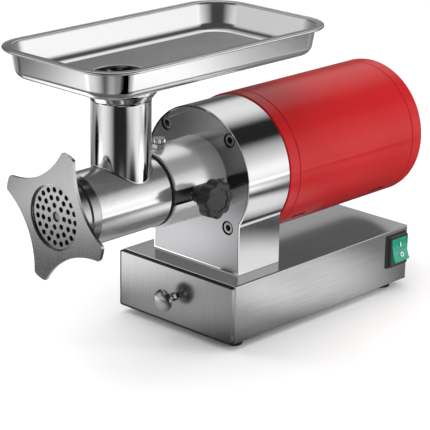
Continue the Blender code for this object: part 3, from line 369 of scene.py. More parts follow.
def prism(outline, axis, low, high, centre=(0, 0, 0)):
    shape = bmesh.new()
    bottom = [shape.verts.new(along(axis, a, b, low) + Vector(centre)) for a, b in outline]
    top = [shape.verts.new(along(axis, a, b, high) + Vector(centre)) for a, b in outline]
    shape.faces.new(bottom)
    shape.faces.new(top)
    bridge(shape, bottom, top)
    return shape


def layered(outline, axis, layers, centre=(0, 0, 0)):
    """A solid made of copies of one outline: each layer is (height, scale)."""
    shape = bmesh.new()
    rings = []
    for height, scale in layers:
        points = [along(axis, a * scale, b * scale, height) + Vector(centre) for a, b in outline]
        rings.append([shape.verts.new(point) for point in points])
    for first, second in zip(rings, rings[1:]):
        bridge(shape, first, second)
    shape.faces.new(rings[0])
    shape.faces.new(rings[-1])
    return shape


def box(low, high):
    outline = [(low[0], low[1]), (high[0], low[1]), (high[0], high[1]), (low[0], high[1])]
    return prism(outline, "Z", low[2], high[2])


def rectangle(half_width, half_height, radius, steps=6):
    """A rounded rectangle about the origin."""
    corners = ((1, -1), (1, 1), (-1, 1), (-1, -1))
    return softened([(a * half_width, b * half_height, radius) for a, b in corners], steps)


def polygon(sides, radius, turn=0.0):
    angles = [turn + 2 * math.pi * side / sides for side in range(sides)]
    return [(radius * math.cos(angle), radius * math.sin(angle)) for angle in angles]


def lobed(lobes, radius, depth, steps_per_lobe, power=1.0):
    """A round outline with shallow hollows between its lobes."""
    points = []
    for step in range(lobes * steps_per_lobe):
        angle = 2 * math.pi * step / (lobes * steps_per_lobe)
        reach = radius - depth * ((1 - math.cos(lobes * angle)) / 2) ** power
        points.append((reach * math.cos(angle), reach * math.sin(angle)))
    return points


def thread(radius, depth, low, high, pitch):
    """Profile points of a screw thread's ridges between two heights, from low to high."""
    points = []
    count = max(1, round((high - low) / pitch))
    step = (high - low) / count
    for turn in range(count):
        points += [(radius - depth, low + step * turn), (radius, low + step * (turn + 0.5))]
    points.append((radius - depth, high))
    return points


# ---------------------------------------------------------------- pieces


def mesh_object(name, shape):
    bmesh.ops.recalc_face_normals(shape, faces=shape.faces)
    mesh = bpy.data.meshes.new(name)
    shape.to_mesh(mesh)
    shape.free()
    made = bpy.data.objects.new(name, mesh)
    bpy.context.scene.collection.objects.link(made)
    return made


def bake_modifiers(target):
    graph = bpy.context.evaluated_depsgraph_get()
    mesh = bpy.data.meshes.new_from_object(target.evaluated_get(graph), depsgraph=graph)
    target.modifiers.clear()
    target.data = mesh


def combined(target, operation, *shapes):
    """The target with these shapes cut from it or joined to it."""
    for shape in shapes:
        helper = mesh_object("helper", shape)
        modifier = target.modifiers.new(operation, "BOOLEAN")
        modifier.operation = operation
        modifier.solver = "EXACT"
        modifier.object = helper
        bake_modifiers(target)
        bpy.data.objects.remove(helper)
    return target


def cut(target, *shapes):
    return combined(target, "DIFFERENCE", *shapes)


def join(target, *shapes):
    return combined(target, "UNION", *shapes)


def bevelled(target, width, segments=3, angle=40):
    modifier = target.modifiers.new("Edges", "BEVEL")
    modifier.width = width
    modifier.segments = segments
    modifier.limit_method = "ANGLE"
    modifier.angle_limit = math.radians(angle)
    modifier.use_clamp_overlap = True
    bake_modifiers(target)
    return target


def placed(target, finish, body, *nodes):
    """Shades a finished mesh, moves it from the bench into the frame and lets it ride on its body."""
    target.data.transform(Matrix.Translation(BENCH))
    target.data.materials.clear()
    target.data.materials.append(finish)
    target.data.shade_smooth()
    target.data.set_sharp_from_angle(angle=SHARP_ANGLE)
    weighted = target.modifiers.new("Normals", "WEIGHTED_NORMAL")
    weighted.keep_sharp = True
    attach(target, body)
    if nodes:
        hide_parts(*nodes)
    return target


def refinish(target, finish, chosen):
    """Gives the faces whose centre, in bench coordinates, is chosen a finish of their own."""
    target.data.materials.append(finish)
    slot = len(target.data.materials) - 1
    for face in target.data.polygons:
        if chosen(face.center - BENCH):
            face.material_index = slot


def dressed(node, finish, edge=0.0):
    """A CAD node that keeps its shape: it takes this finish, and a soft edge of this width."""
    target = NODES[node]
    target.data.materials.clear()
    target.data.materials.append(finish)
    if edge:
        weld = target.modifiers.new("Weld", "WELD")
        weld.merge_threshold = 1e-6
        soft = target.modifiers.new("Edges", "BEVEL")
        soft.width = edge
        soft.segments = 2
        soft.limit_method = "ANGLE"
        soft.angle_limit = math.radians(40)
        weighted = target.modifiers.new("Normals", "WEIGHTED_NORMAL")
        weighted.keep_sharp = True


# ---------------------------------------------------------------- materials


def shader_of(name, slot, **values):
    """A new material, its node tree, its Principled shader and a texture coordinate in object space."""
    made = bpy.data.materials.new(name)
    made.use_nodes = True
    made["slot"] = slot
    tree = made.node_tree
    shader = tree.nodes["Principled BSDF"]
    for key, value in values.items():
        shader.inputs[key.replace("_", " ").title().replace("Ior", "IOR")].default_value = value
    place = tree.nodes.new("ShaderNodeTexCoord").outputs["Object"]
    return made, tree, shader, place


def node(tree, kind, sockets=None, output=0, **settings):
    """A new node's output; each socket named or numbered takes a value, or a link from another output."""
    made = tree.nodes.new("ShaderNode" + kind)
    for key, value in settings.items():
        setattr(made, key, value)
    for key, value in (sockets or {}).items():
        if isinstance(value, bpy.types.NodeSocket):
            tree.links.new(value, made.inputs[key])
        else:
            made.inputs[key].default_value = value
    return made.outputs[output] if made.outputs else None


def reckon(tree, operation, *values):
    return node(tree, "Math", dict(enumerate(values)), operation=operation)


def noise(tree, place, scale, detail=3.0, roughness=0.55, stretch=(1, 1, 1)):
    """Noise in object space; a stretch above 1 makes the pattern finer along that axis."""
    mapped = node(tree, "Mapping", {"Vector": place, "Scale": stretch})
    values = {"Vector": mapped, "Scale": scale, "Detail": detail, "Roughness": roughness}
    return node(tree, "TexNoise", values, "Fac")


def ramped(tree, value, low, high, start=0.3, end=0.7, blend="LINEAR"):
    """A value between low and high as the input goes from start to end."""
    limits = {"Value": value, "From Min": start, "From Max": end, "To Min": low, "To Max": high}
    return node(tree, "MapRange", limits, "Result", interpolation_type=blend)


def tinted(tree, value, dark, light):
    """A colour between dark and light, by the value."""
    made = tree.nodes.new("ShaderNodeValToRGB")
    for element, position, colour in zip(made.color_ramp.elements, (0.3, 0.7), (dark, light)):
        element.position = position
        element.color = (*colour, 1)
    tree.links.new(value, made.inputs["Fac"])
    return made.outputs["Color"]


def bump(tree, shader, height, strength, distance):
    normal = node(tree, "Bump", {"Height": height, "Strength": strength, "Distance": distance})
    tree.links.new(normal, shader.inputs["Normal"])


def steel(
    name, slot, colour, rough, stretch=(1, 1, 1), grain=900.0, depth=0.00001, metallic=1.0, wear=0.93
):
    """Metal with fine lines along its least stretched axis, cloudy wear and faint smudges."""
    made, tree, shader, place = shader_of(name, slot, metallic=metallic)
    lines = noise(tree, place, grain, 4.0, 0.6, stretch)
    cloud = noise(tree, place, 14.0, 4.0, 0.6)
    value = reckon(tree, "MULTIPLY_ADD", lines, 0.6, ramped(tree, cloud, 0.0, 0.4, 0.0, 1.0))
    tree.links.new(ramped(tree, value, rough * 0.7, rough * 1.3), shader.inputs["Roughness"])
    dark = tuple(c * wear for c in colour)
    tree.links.new(tinted(tree, value, dark, colour), shader.inputs["Base Color"])
    bump(tree, shader, lines, 0.35, depth)
    return made


def plastic(name, slot, colour, rough, grain=1600.0, depth=0.00003, **values):
    """Moulded plastic or rubber with a fine texture and uneven gloss."""
    made, tree, shader, place = shader_of(name, slot, **values)
    fine = noise(tree, place, grain, 2.0)
    cloud = noise(tree, place, 40.0, 3.0)
    tree.links.new(ramped(tree, cloud, rough * 0.85, rough * 1.2), shader.inputs["Roughness"])
    dark = tuple(c * 0.85 for c in colour)
    tree.links.new(tinted(tree, cloud, dark, colour), shader.inputs["Base Color"])
    bump(tree, shader, fine, 0.3, depth)
    return made


def red_enamel():
    """Glossy red enamel: flat colour with a slight orange peel under a clear top."""
    made, tree, shader, place = shader_of(
        "red_enamel", "red_paint", coat_weight=0.32, coat_roughness=0.07, specular_ior_level=0.12
    )
    cloud = noise(tree, place, 9.0, 3.0)
    peel = noise(tree, place, 420.0, 2.0, 0.4)
    colour = tinted(tree, cloud, (0.385, 0.008, 0.010), (0.43, 0.011, 0.013))
    tree.links.new(colour, shader.inputs["Base Color"])
    tree.links.new(ramped(tree, cloud, 0.30, 0.38), shader.inputs["Roughness"])
    bump(tree, shader, peel, 0.08, 0.00004)
    return made


def grey(level, tint=0.0):
    return (level, level, level + tint)


POLISHED = steel("polished_steel", "polished_steel", grey(0.86), 0.07, grain=300.0, depth=0.000002)
HEAD = steel("polished_head", "polished_steel", grey(0.86), 0.15, (1, 1, 1), 300.0, 0.000001, 0.86)
HOUSING = steel("polished_housing", "polished_housing", grey(0.84), 0.09, (1, 0.15, 1), 600.0, 0.000002)
TRAY = steel("tray_steel", "polished_steel", grey(0.84), 0.17, (1, 0.03, 1), 2200.0, 0.000001, 0.93)
SATIN_KNOB = steel("satin_knob", "polished_steel", (0.58, 0.57, 0.56), 0.26, grain=500.0, depth=0.000004)
FACE = steel("satin_cover", "satin_cover", grey(0.37, 0.01), 0.18, grain=1300.0, depth=0.0000015)
NECK = steel("polished_neck", "satin_cover", grey(0.86), 0.20, (1, 0.2, 1), 600.0, 0.000003, 0.62)
SATIN = steel("satin_steel", "satin_steel", grey(0.60, 0.01), 0.24, grain=1500.0, depth=0.0000015)
DULL = steel("dull_steel", "satin_steel", grey(0.42, 0.01), 0.40, (1, 0.1, 1), 500.0)
SHELL = steel("brushed_shell", "brushed_steel", grey(0.70), 0.17, (1, 0.02, 1), wear=0.80)
FRONT = steel("brushed_front", "brushed_steel", grey(0.47), 0.20, (1, 1, 0.02), wear=0.80)
TINNED = steel("tinned_iron", "tinned_iron", (0.62, 0.62, 0.60), 0.42, grain=200.0, depth=0.00004)
MACHINED = steel("machined_steel", "machined_steel", grey(0.62, 0.01), 0.24, grain=1100.0, depth=0.000006)
BLACKENED = steel("blackened_steel", "machined_steel", grey(0.30, 0.01), 0.20, grain=1100.0, depth=0.000004)
GEARS = steel("gear_steel", "gear_steel", (0.34, 0.34, 0.36), 0.34, (1, 0.2, 1), 800.0)
LAMINATED = steel(
    "laminated_steel", "laminated_steel", grey(0.24, 0.01), 0.50, (0.02, 1, 0.02), 2000.0, 0.00005
)
CAST = steel("cast_aluminium", "cast_aluminium", (0.56, 0.57, 0.58), 0.52, grain=500.0, depth=0.00006)
COPPER = steel("copper_winding", "copper_winding", (0.62, 0.24, 0.09), 0.34, (0.1, 1, 0.1), 1200.0, 0.0001)
RED = red_enamel()
BLACK = plastic("black_plastic", "black_plastic", (0.022, 0.022, 0.024), 0.34)
RUBBER = plastic("black_rubber", "black_rubber", (0.014, 0.014, 0.015), 0.68, 900.0, 0.00006)
GREEN = plastic("green_plastic", "green_plastic", (0.0, 0.27, 0.17), 0.16, 700.0, 0.000008, coat_weight=0.6)
WHITE = plastic("white_mark", "green_plastic", (0.80, 0.86, 0.83), 0.30, 700.0, 0.000008)


# ---------------------------------------------------------------- base, drawer and switch


def build_base():
    section = softened([
        (BASE_HALF, BASE_BOTTOM), (BASE_HALF, BASE_TOP, 0.0016), (-BASE_HALF, BASE_TOP, 0.0016),
        (-BASE_HALF, BASE_BOTTOM),
    ], 6)
    shell = mesh_object("steel_base", prism(section, "Y", BASE_FRONT, BASE_LENGTH))
    inside = BASE_HALF - SHEET
    cut(
        shell,
        box((-inside, -0.01, -0.01), (inside, BASE_LENGTH - SHEET, BASE_TOP - SHEET)),
        box((inside - 0.002, 0.2495, 0.0310), (BASE_HALF + 0.002, 0.2775, 0.0630)),
        rod(0.0068, BASE_LENGTH - 0.004, BASE_LENGTH + 0.002, "Y", (-0.050, 0, 0.030)),
    )
    bevelled(shell, 0.0004, 2)
    placed(shell, SHELL, "root", "base_shell")
    dressed("base_floor", DULL, 0.0003)

    profile = [
        (0, 0.0103), (0.0025, 0.0103), (0.0025, 0.0077), (0.0090, 0.0077, 0.0004), (0.0086, 0.0014, 0.0012),
        (0.0074, 0.0002, 0.0003), (0.0048, 0.0002, 0.0003), (0.0040, 0.0022, 0.0003), (0, 0.0022),
    ]
    for end, y in (("front", FOOT_FRONT), ("rear", FOOT_REAR)):
        for side, x in (("left", -FOOT_X), ("right", FOOT_X)):
            node_name = f"foot_{end}_{side}"
            foot = mesh_object("rubber_" + node_name, lathe(profile, "Z", (x, y, 0), SMALL))
            placed(foot, RUBBER, "root", node_name)


def panel_outline(inset, radius, reach=0.0):
    """The drawer panel's outline; it runs to the full width on the right, or past it by the reach."""
    left, right = -BASE_HALF + SEAL_SHADE_SHARE * inset, BASE_HALF + reach
    bottom, top = BASE_BOTTOM + 0.0003 + SEAL_SHADE_SHARE * inset, BASE_TOP - 0.0003 - inset
    corners = rectangle((right - left) / 2, (top - bottom) / 2, radius)
    return [(a + (left + right) / 2, b + (bottom + top) / 2) for a, b in corners]


def build_drawer():
    front = mesh_object("drawer_face", prism(panel_outline(SEAL, 0.0014), "Y", 0, PANEL_DEPTH))
    stud_hole = rod(KNOB_STUD_RADIUS + 0.0003, -0.01, 0.02, "Y", (0, 0, BASE_MIDDLE))
    cut(front, prism(panel_outline(0.0028, 0.0008), "Y", 0.0015, 2 * PANEL_DEPTH), stud_hole)
    bevelled(front, 0.0005, 3)
    placed(front, FRONT, "drawer", "drawer_front")
    # The black rubber seal in the joint round the panel; its extra width on the left and below is painted
    # shade, standing in for the shadow under the panel and the dark reflection at its left edge.
    seal = mesh_object("drawer_seal", prism(panel_outline(0, 0.0022), "Y", SEAL_FACE, PANEL_DEPTH - 0.0001))
    cut(seal, prism(panel_outline(SEAL + 0.00005, 0.0014, 0.0060), "Y", -0.001, 2 * PANEL_DEPTH))
    placed(seal, RUBBER, "drawer")
    dressed("drawer_box", SATIN, 0.0004)
    dressed("drawer_guide_left", DULL, 0.0003)
    dressed("drawer_guide_right", DULL, 0.0003)

    axis = (0, 0, BASE_MIDDLE)
    stud = [(0, -0.0175)] + thread(KNOB_STUD_RADIUS, 0.0003, -0.0174, 0.0089, 0.0007) + [(0, 0.0090)]
    bolt = mesh_object("knob_stud", lathe(stud, "Y", axis, SMALL))
    placed(bolt, MACHINED, "drawer", "drawer_knob_bolt")
    for name, back, front_y in (("knob_nut", -0.0042, -0.0003), ("knob_lock_nut", 0.0036, 0.0075)):
        nut = mesh_object(name, prism(polygon(6, KNOB_NUT_RADIUS), "Y", back, front_y, axis))
        cut(nut, rod(KNOB_STUD_RADIUS + 0.00005, back - 0.001, front_y + 0.001, "Y", axis))
        bevelled(nut, 0.0003, 2)
        placed(nut, MACHINED, "drawer")

    dome = [(0, KNOB_FACE)]
    for angle in range(8, 86, 7):
        bend = math.radians(angle)
        dome.append(((KNOB_RADIUS - 0.0002) * math.sin(bend), KNOB_FACE + 0.0058 * (1 - math.cos(bend))))
    dome += [
        (KNOB_RADIUS, -0.0156, 0.0008), (0.0112, -0.0143, 0.0006), (0.0062, -0.0124, 0.0020),
        (0.0043, -0.0095, 0.0016), (0.0043, -0.0063, 0.0003), (0.0028, -0.0063), (0.0028, -0.0180),
        (0, -0.0180),
    ]
    knob = mesh_object("mushroom_knob", lathe(dome, "Y", axis, MEDIUM))
    placed(knob, SATIN_KNOB, "drawer", "drawer_knob")


def build_switch():
    centre = (0, SWITCH_Y, SWITCH_Z)
    wall = BASE_HALF + 0.0003
    flange = ((wall, 1.0), (wall + 0.0016, 1.0), (wall + 0.0025, 0.965))
    rim = ((wall + 0.001, 1.0), (wall + 0.0056, 1.0), (wall + 0.0062, 0.975))
    bezel = mesh_object("switch_bezel", layered(rectangle(0.0170, 0.0190, 0.0024), "X", flange, centre))
    join(
        bezel,
        layered(rectangle(0.0150, 0.0171, 0.0014), "X", rim, centre),
        prism(rectangle(0.0137, 0.0157, 0.0005, 2), "X", 0.052, wall + 0.0012, centre),
    )
    cut(bezel, prism(rectangle(0.0129, 0.0150, 0.0006, 3), "X", 0.070, wall + 0.02, centre))
    placed(bezel, BLACK, "root", "switch_housing")

    tilt = Matrix.Translation((ROCKER_X, SWITCH_Y, SWITCH_Z))
    tilt = tilt @ Matrix.Rotation(math.radians(ROCKER_TILT), 4, "Y")
    hollow = arc((ROCKER_FACE + 0.0524, 0), 0.0540, 180 - 13.93, 180 + 13.93, 18)
    side = hollow + [
        (0.0072, -ROCKER_HALF_HEIGHT), (-0.0030, -0.0092), (-0.0050, -0.0040), (-0.0050, 0.0040),
        (-0.0030, 0.0092), (0.0072, ROCKER_HALF_HEIGHT),
    ]
    shape = prism(side, "Y", -ROCKER_HALF_WIDTH, ROCKER_HALF_WIDTH)
    bmesh.ops.transform(shape, matrix=tilt, verts=shape.verts)
    rocker = mesh_object("rocker_button", shape)
    bevelled(rocker, 0.0006, 3, 50)
    placed(rocker, GREEN, "rocker", "switch_rocker")

    bar = box((ROCKER_FACE - 0.0012, -0.0007, 0.0046), (ROCKER_FACE - 0.0007, 0.0007, 0.0096))
    upper = tilt @ Matrix.Rotation(math.radians(ROCKER_BEND), 4, "Y")
    bmesh.ops.transform(bar, matrix=upper, verts=bar.verts)
    on_mark = mesh_object("rocker_on_mark", bar)
    bevelled(on_mark, 0.00015, 2)
    placed(on_mark, WHITE, "rocker")
    ring = lathe(
        [(0.0026, 0.0096), (0.0026, 0.0103), (0.0017, 0.0103), (0.0017, 0.0096)], "X", (0, 0, 0), SMALL
    )
    lower = tilt @ Matrix.Rotation(math.radians(-ROCKER_BEND), 4, "Y")
    bmesh.ops.transform(ring, matrix=lower @ Matrix.Translation((0.0009, 0, -0.0070)), verts=ring.verts)
    placed(mesh_object("rocker_off_mark", ring), WHITE, "rocker")


# ---------------------------------------------------------------- gearbox


def housing_outline(inset, foot, steps=110):
    """An arch on a straight leg, drawn inside the outer outline by the inset, down to the foot height."""
    radius = HOUSING_RADIUS - inset
    half = LEG_HALF_WIDTH - inset
    across = LEG_HALF_WIDTH + LEG_FILLET
    reach = HOUSING_RADIUS + LEG_FILLET
    drop = math.sqrt(reach**2 - across**2)
    meet = math.degrees(math.asin(drop / reach))
    right = [(half, foot)]
    right += arc((across, AXIS_Z - drop), LEG_FILLET + inset, 180, 180 - meet, 8)
    top = arc((0, AXIS_Z), radius, -meet, 180 + meet, steps)
    left = [(-x, z) for x, z in reversed(right)]
    return right + top[1:-1] + left


def build_gearbox():
    foot = BASE_TOP + 0.0003
    axis = (0, 0, AXIS_Z)
    layshaft = (0, 0, LAYSHAFT_Z)
    rear_wall = HOUSING_REAR - 0.0087
    housing = mesh_object("arch_housing", prism(housing_outline(0, foot), "Y", PLATE_FRONT, HOUSING_REAR))
    cut(
        housing,
        prism(housing_outline(HOUSING_RIM, foot + HOUSING_RIM), "Y", 0, PLATE_REAR + 0.0003),
        prism(housing_outline(HOUSING_WALL, foot + HOUSING_WALL), "Y", PLATE_FRONT, rear_wall),
    )
    for x, z in SCREWS:
        join(housing, rod(0.009, PLATE_REAR + 0.0003, rear_wall + 0.001, "Y", (x, 0, z)))
        cut(housing, rod(STUD_HOLE_RADIUS, PLATE_REAR - 0.001, PLATE_REAR + 0.016, "Y", (x, 0, z)))
    cut(
        housing,
        rod(OUTPUT_HOLE_RADIUS, rear_wall - 0.001, HOUSING_REAR + 0.001, "Y", axis, MEDIUM),
        rod(LAYSHAFT_BEARING_RADIUS, rear_wall - 0.001, rear_wall + 0.0063, "Y", layshaft),
    )
    bevelled(housing, 0.0004, 2, 50)
    placed(housing, HOUSING, "root", "gearbox_housing")

    outline = housing_outline(HOUSING_RIM + 0.0007, BASE_TOP + HOUSING_RIM + 0.0006)
    plate = mesh_object("front_plate", prism(outline, "Y", PLATE_FRONT, PLATE_REAR))
    cut(plate, rod(NECK_SEAT_RADIUS + 0.0001, PLATE_FRONT - 0.001, PLATE_REAR + 0.001, "Y", axis, FINE))
    for x, z in SCREWS:
        pocket = rod(SCREW_POCKET_RADIUS, PLATE_FRONT - 0.001, PLATE_FRONT + 0.0058, "Y", (x, 0, z), MEDIUM)
        cut(plate, pocket, rod(SCREW_RADIUS + 0.0002, PLATE_FRONT, PLATE_REAR + 0.001, "Y", (x, 0, z)))
    cut(plate, rod(LAYSHAFT_BEARING_RADIUS, PLATE_REAR - 0.0060, PLATE_REAR + 0.001, "Y", layshaft))
    bevelled(plate, 0.0005, 3, 50)
    placed(plate, FACE, "root", "gearbox_cover")
    build_neck(axis)

    for number, (x, z) in enumerate(SCREWS, 1):
        centre = (x, 0, z)
        front, back = PLATE_FRONT + 0.0007, PLATE_FRONT + 0.0055
        ridges = thread(SCREW_RADIUS, 0.0005, 0.0, 0.0120, 0.0012)
        profile = [(0, back + 0.015)] + [(r, back + 0.0148 - h) for r, h in ridges]
        profile += [(0.0038, back), (SCREW_HEAD_RADIUS, back, 0.0002), (SCREW_HEAD_RADIUS, front, 0.0007)]
        profile.append((0, front))
        screw = mesh_object(f"socket_screw_{number}", lathe(profile, "Y", centre, SMALL))
        socket = polygon(6, SCREW_SOCKET_RADIUS)
        cut(screw, prism(socket, "Y", front - 0.001, PLATE_FRONT + 0.0050, centre))
        placed(screw, BLACKENED, "root", f"cover_screw_{number}")


def build_neck(axis):
    profile = [
        (NECK_SEAT_RADIUS, PLATE_REAR - 0.0002), (0.0238, PLATE_REAR - 0.0002), (0.0238, 0.0207),
        (0.0203, 0.0207), (0.0203, 0.0153), (0.0145, 0.0153), (0.0145, SOCKET_END),
        (SOCKET_RADIUS, SOCKET_END), (SOCKET_RADIUS, NECK_FRONT, 0.0010),
        (NECK_RADIUS_FRONT, NECK_FRONT, 0.0010), (NECK_RADIUS_REAR, PLATE_FRONT - 0.0006, 0.0003),
        (NECK_RADIUS_REAR, PLATE_FRONT + 0.0002), (NECK_SEAT_RADIUS, PLATE_FRONT + 0.0002),
    ]
    neck = mesh_object("neck", lathe(profile, "Y", axis, FINE))
    low, high, outside = AXIS_Z - SLOT_HALF_HEIGHT, AXIS_Z + SLOT_HALF_HEIGHT, SLOT_FLOOR + 0.0190
    slot = softened([(SLOT_FLOOR, low), (outside, low), (outside, high), (SLOT_FLOOR, high)])
    cut(
        neck,
        prism(slot, "Y", NECK_FRONT - 0.001, PLATE_FRONT - 0.0011),
        rod(STUD_HOLE_RADIUS, 0.02, 0.05, "X", (0, CLAMP_Y, AXIS_Z)),
        rod(STUD_HOLE_RADIUS, AXIS_Z + 0.020, AXIS_Z + 0.05, "Z", (0, OIL_PLUG_Y, 0)),
    )
    placed(neck, NECK, "root")
    # The slot's faces take the darker dull steel: partly a real milled finish, partly painted shade standing
    # in for the slot's dark reflection.
    refinish(neck, DULL, lambda at: (
        abs(at.z - AXIS_Z) < SLOT_HALF_HEIGHT + 0.0002
        and 0.030 < at.x < 0.0405
        and NECK_FRONT < at.y < PLATE_FRONT
    ))


def build_clamp():
    centre = (0, CLAMP_Y, AXIS_Z)
    stud = [(0, 0.0680), (0.0034, 0.0680, 0.0003)]
    stud += [(r, 0.0676 - h) for r, h in thread(STUD_RADIUS, 0.0004, 0.0, 0.0365, 0.00125)]
    stud += [(0.0030, 0.0300, 0.0003), (0.0028, 0.0295, 0.0003), (0, 0.0295)]
    screw = mesh_object("clamp_screw", lathe(stud, "X", centre, SMALL))
    placed(screw, MACHINED, "clamp_screw", "clamp_stud")

    outline = lobed(CLAMP_LOBES, CLAMP_RADIUS, CLAMP_LOBE_DEPTH, 16, 1.6)
    low, high = CLAMP_BACK, CLAMP_FACE
    layers = [(low, 0.90), (low + 0.0004, 0.945), (low + 0.0014, 0.985), (low + 0.0028, 1.0)]
    layers.append((high - 0.0036, 1.0))
    for step in range(1, 7):
        bend = math.radians(15 * step)
        layers.append((high - 0.0036 + 0.0030 * math.sin(bend), 1 - 0.13 * (1 - math.cos(bend))))
    layers += [(high - 0.0004, 0.80), (high - 0.0002, 0.62), (high - 0.0012, 0.58), (high - 0.0012, 0.05)]
    knob = mesh_object("star_knob", layered(outline, "X", layers, centre))
    hub = [(0, 0.0605), (0.0110, 0.0605), (0.0104, 0.0580, 0.0010), (0.0090, 0.0440, 0.0006), (0, 0.0440)]
    join(knob, lathe(hub, "X", centre, MEDIUM))
    cut(knob, rod(STUD_HOLE_RADIUS, 0.040, 0.0684, "X", centre))
    placed(knob, BLACK, "clamp_handle", "clamp_knob")


def build_oil_plug():
    seat = AXIS_Z + NECK_RADIUS_FRONT + 0.0010
    centre = (0, OIL_PLUG_Y, 0)
    layers = ((seat, 0.95), (seat + 0.0004, 1.0), (seat + 0.0044, 1.0), (seat + 0.0050, 0.92))
    body = mesh_object("plug_hexagon", layered(polygon(6, PLUG_HEX_RADIUS), "Z", layers, centre))
    ridges = thread(STUD_RADIUS, 0.0004, 0.0, 0.0095, 0.001)
    stem = [(0, seat - 0.0095)] + [(r, seat - 0.0093 + h) for r, h in ridges]
    stem += [(0.0026, seat + 0.0010), (0.0026, seat + 0.0085, 0.0003), (0, seat + 0.0085)]
    join(body, lathe(stem, "Z", centre, SMALL))
    placed(body, POLISHED, "plug", "oil_plug")
    knurl = lobed(30, PLUG_CAP_RADIUS, 0.00035, 4)
    low, high = seat + 0.0058, seat + 0.0104
    layers = ((low, 0.90), (low + 0.0007, 1.0), (high - 0.0008, 1.0), (high - 0.0001, 0.90), (high, 0.60))
    cap = mesh_object("plug_cap", layered(knurl, "Z", layers, centre))
    cut(cap, rod(0.0029, low - 0.001, low + 0.0030, "Z", centre))
    placed(cap, POLISHED, "plug_cap", "oil_plug_cap")


# ---------------------------------------------------------------- motor


def build_motor():
    axis = (0, 0, AXIS_Z)
    inner = MOTOR_RADIUS - MOTOR_WALL
    ring = [
        (0.0300, MOTOR_FRONT), (0.0300, MOTOR_FRONT + 0.006), (inner - 0.002, MOTOR_FRONT + 0.006),
        (inner - 0.002, FRONT_SEAM - SEAM_GAP), (MOTOR_RADIUS, FRONT_SEAM - SEAM_GAP, SEAM_EDGE),
        (MOTOR_RADIUS, MOTOR_FRONT, 0.0010),
    ]
    front = mesh_object("red_front_ring", lathe(ring, "Y", axis))
    placed(front, RED, "root", "motor_front_ring")

    shell_profile = [
        (inner, FRONT_SEAM + SEAM_GAP), (inner, REAR_SEAM - SEAM_GAP),
        (MOTOR_RADIUS, REAR_SEAM - SEAM_GAP, SEAM_EDGE), (MOTOR_RADIUS, FRONT_SEAM + SEAM_GAP, SEAM_EDGE),
    ]
    shell = mesh_object("red_shell", lathe(shell_profile, "Y", axis))
    for side in (-1, 1):
        for y in VENTS_Y:
            x = side * MOTOR_RADIUS * math.cos(VENT_ANGLE)
            z = AXIS_Z - MOTOR_RADIUS * math.sin(VENT_ANGLE)
            slot = [(a + y, b + z) for a, b in rectangle(0.0110, 0.0016, 0.0015)]
            cut(shell, prism(slot, "X", x - 0.0055, x + 0.0055))
    placed(shell, RED, "root", "motor_shell")

    cap = [
        (0.0088, 0.3020), (0.0175, 0.3020), (0.0175, 0.2965), (0.0215, 0.2965), (0.0215, 0.3060),
        (inner - 0.003, 0.3060), (inner - 0.003, REAR_SEAM + SEAM_GAP),
        (MOTOR_RADIUS, REAR_SEAM + SEAM_GAP, SEAM_EDGE), (MOTOR_RADIUS, MOTOR_REAR, 0.0044),
        (0.0560, MOTOR_REAR, 0.0010), (0.0545, MOTOR_REAR - 0.0008, 0.0010), (0, MOTOR_REAR - 0.0008),
        (0, 0.3084), (0.0088, 0.3084),
    ]
    rear = mesh_object("red_rear_cap", lathe(cap, "Y", axis))
    for row in (-2, -1, 0, 1, 2):
        half = (0.040 - 0.006 * abs(row)) / 2 - 0.003
        for side in (-1, 1):
            middle = side * (0.0235 + half)
            louvre = [
                (a + middle, b + AXIS_Z + LOUVRE_PITCH * row) for a, b in rectangle(half, 0.0018, 0.0017)
            ]
            cut(rear, prism(louvre, "Y", 0.300, 0.320))
    placed(rear, RED, "root", "motor_rear_cap")


# ---------------------------------------------------------------- grinding head


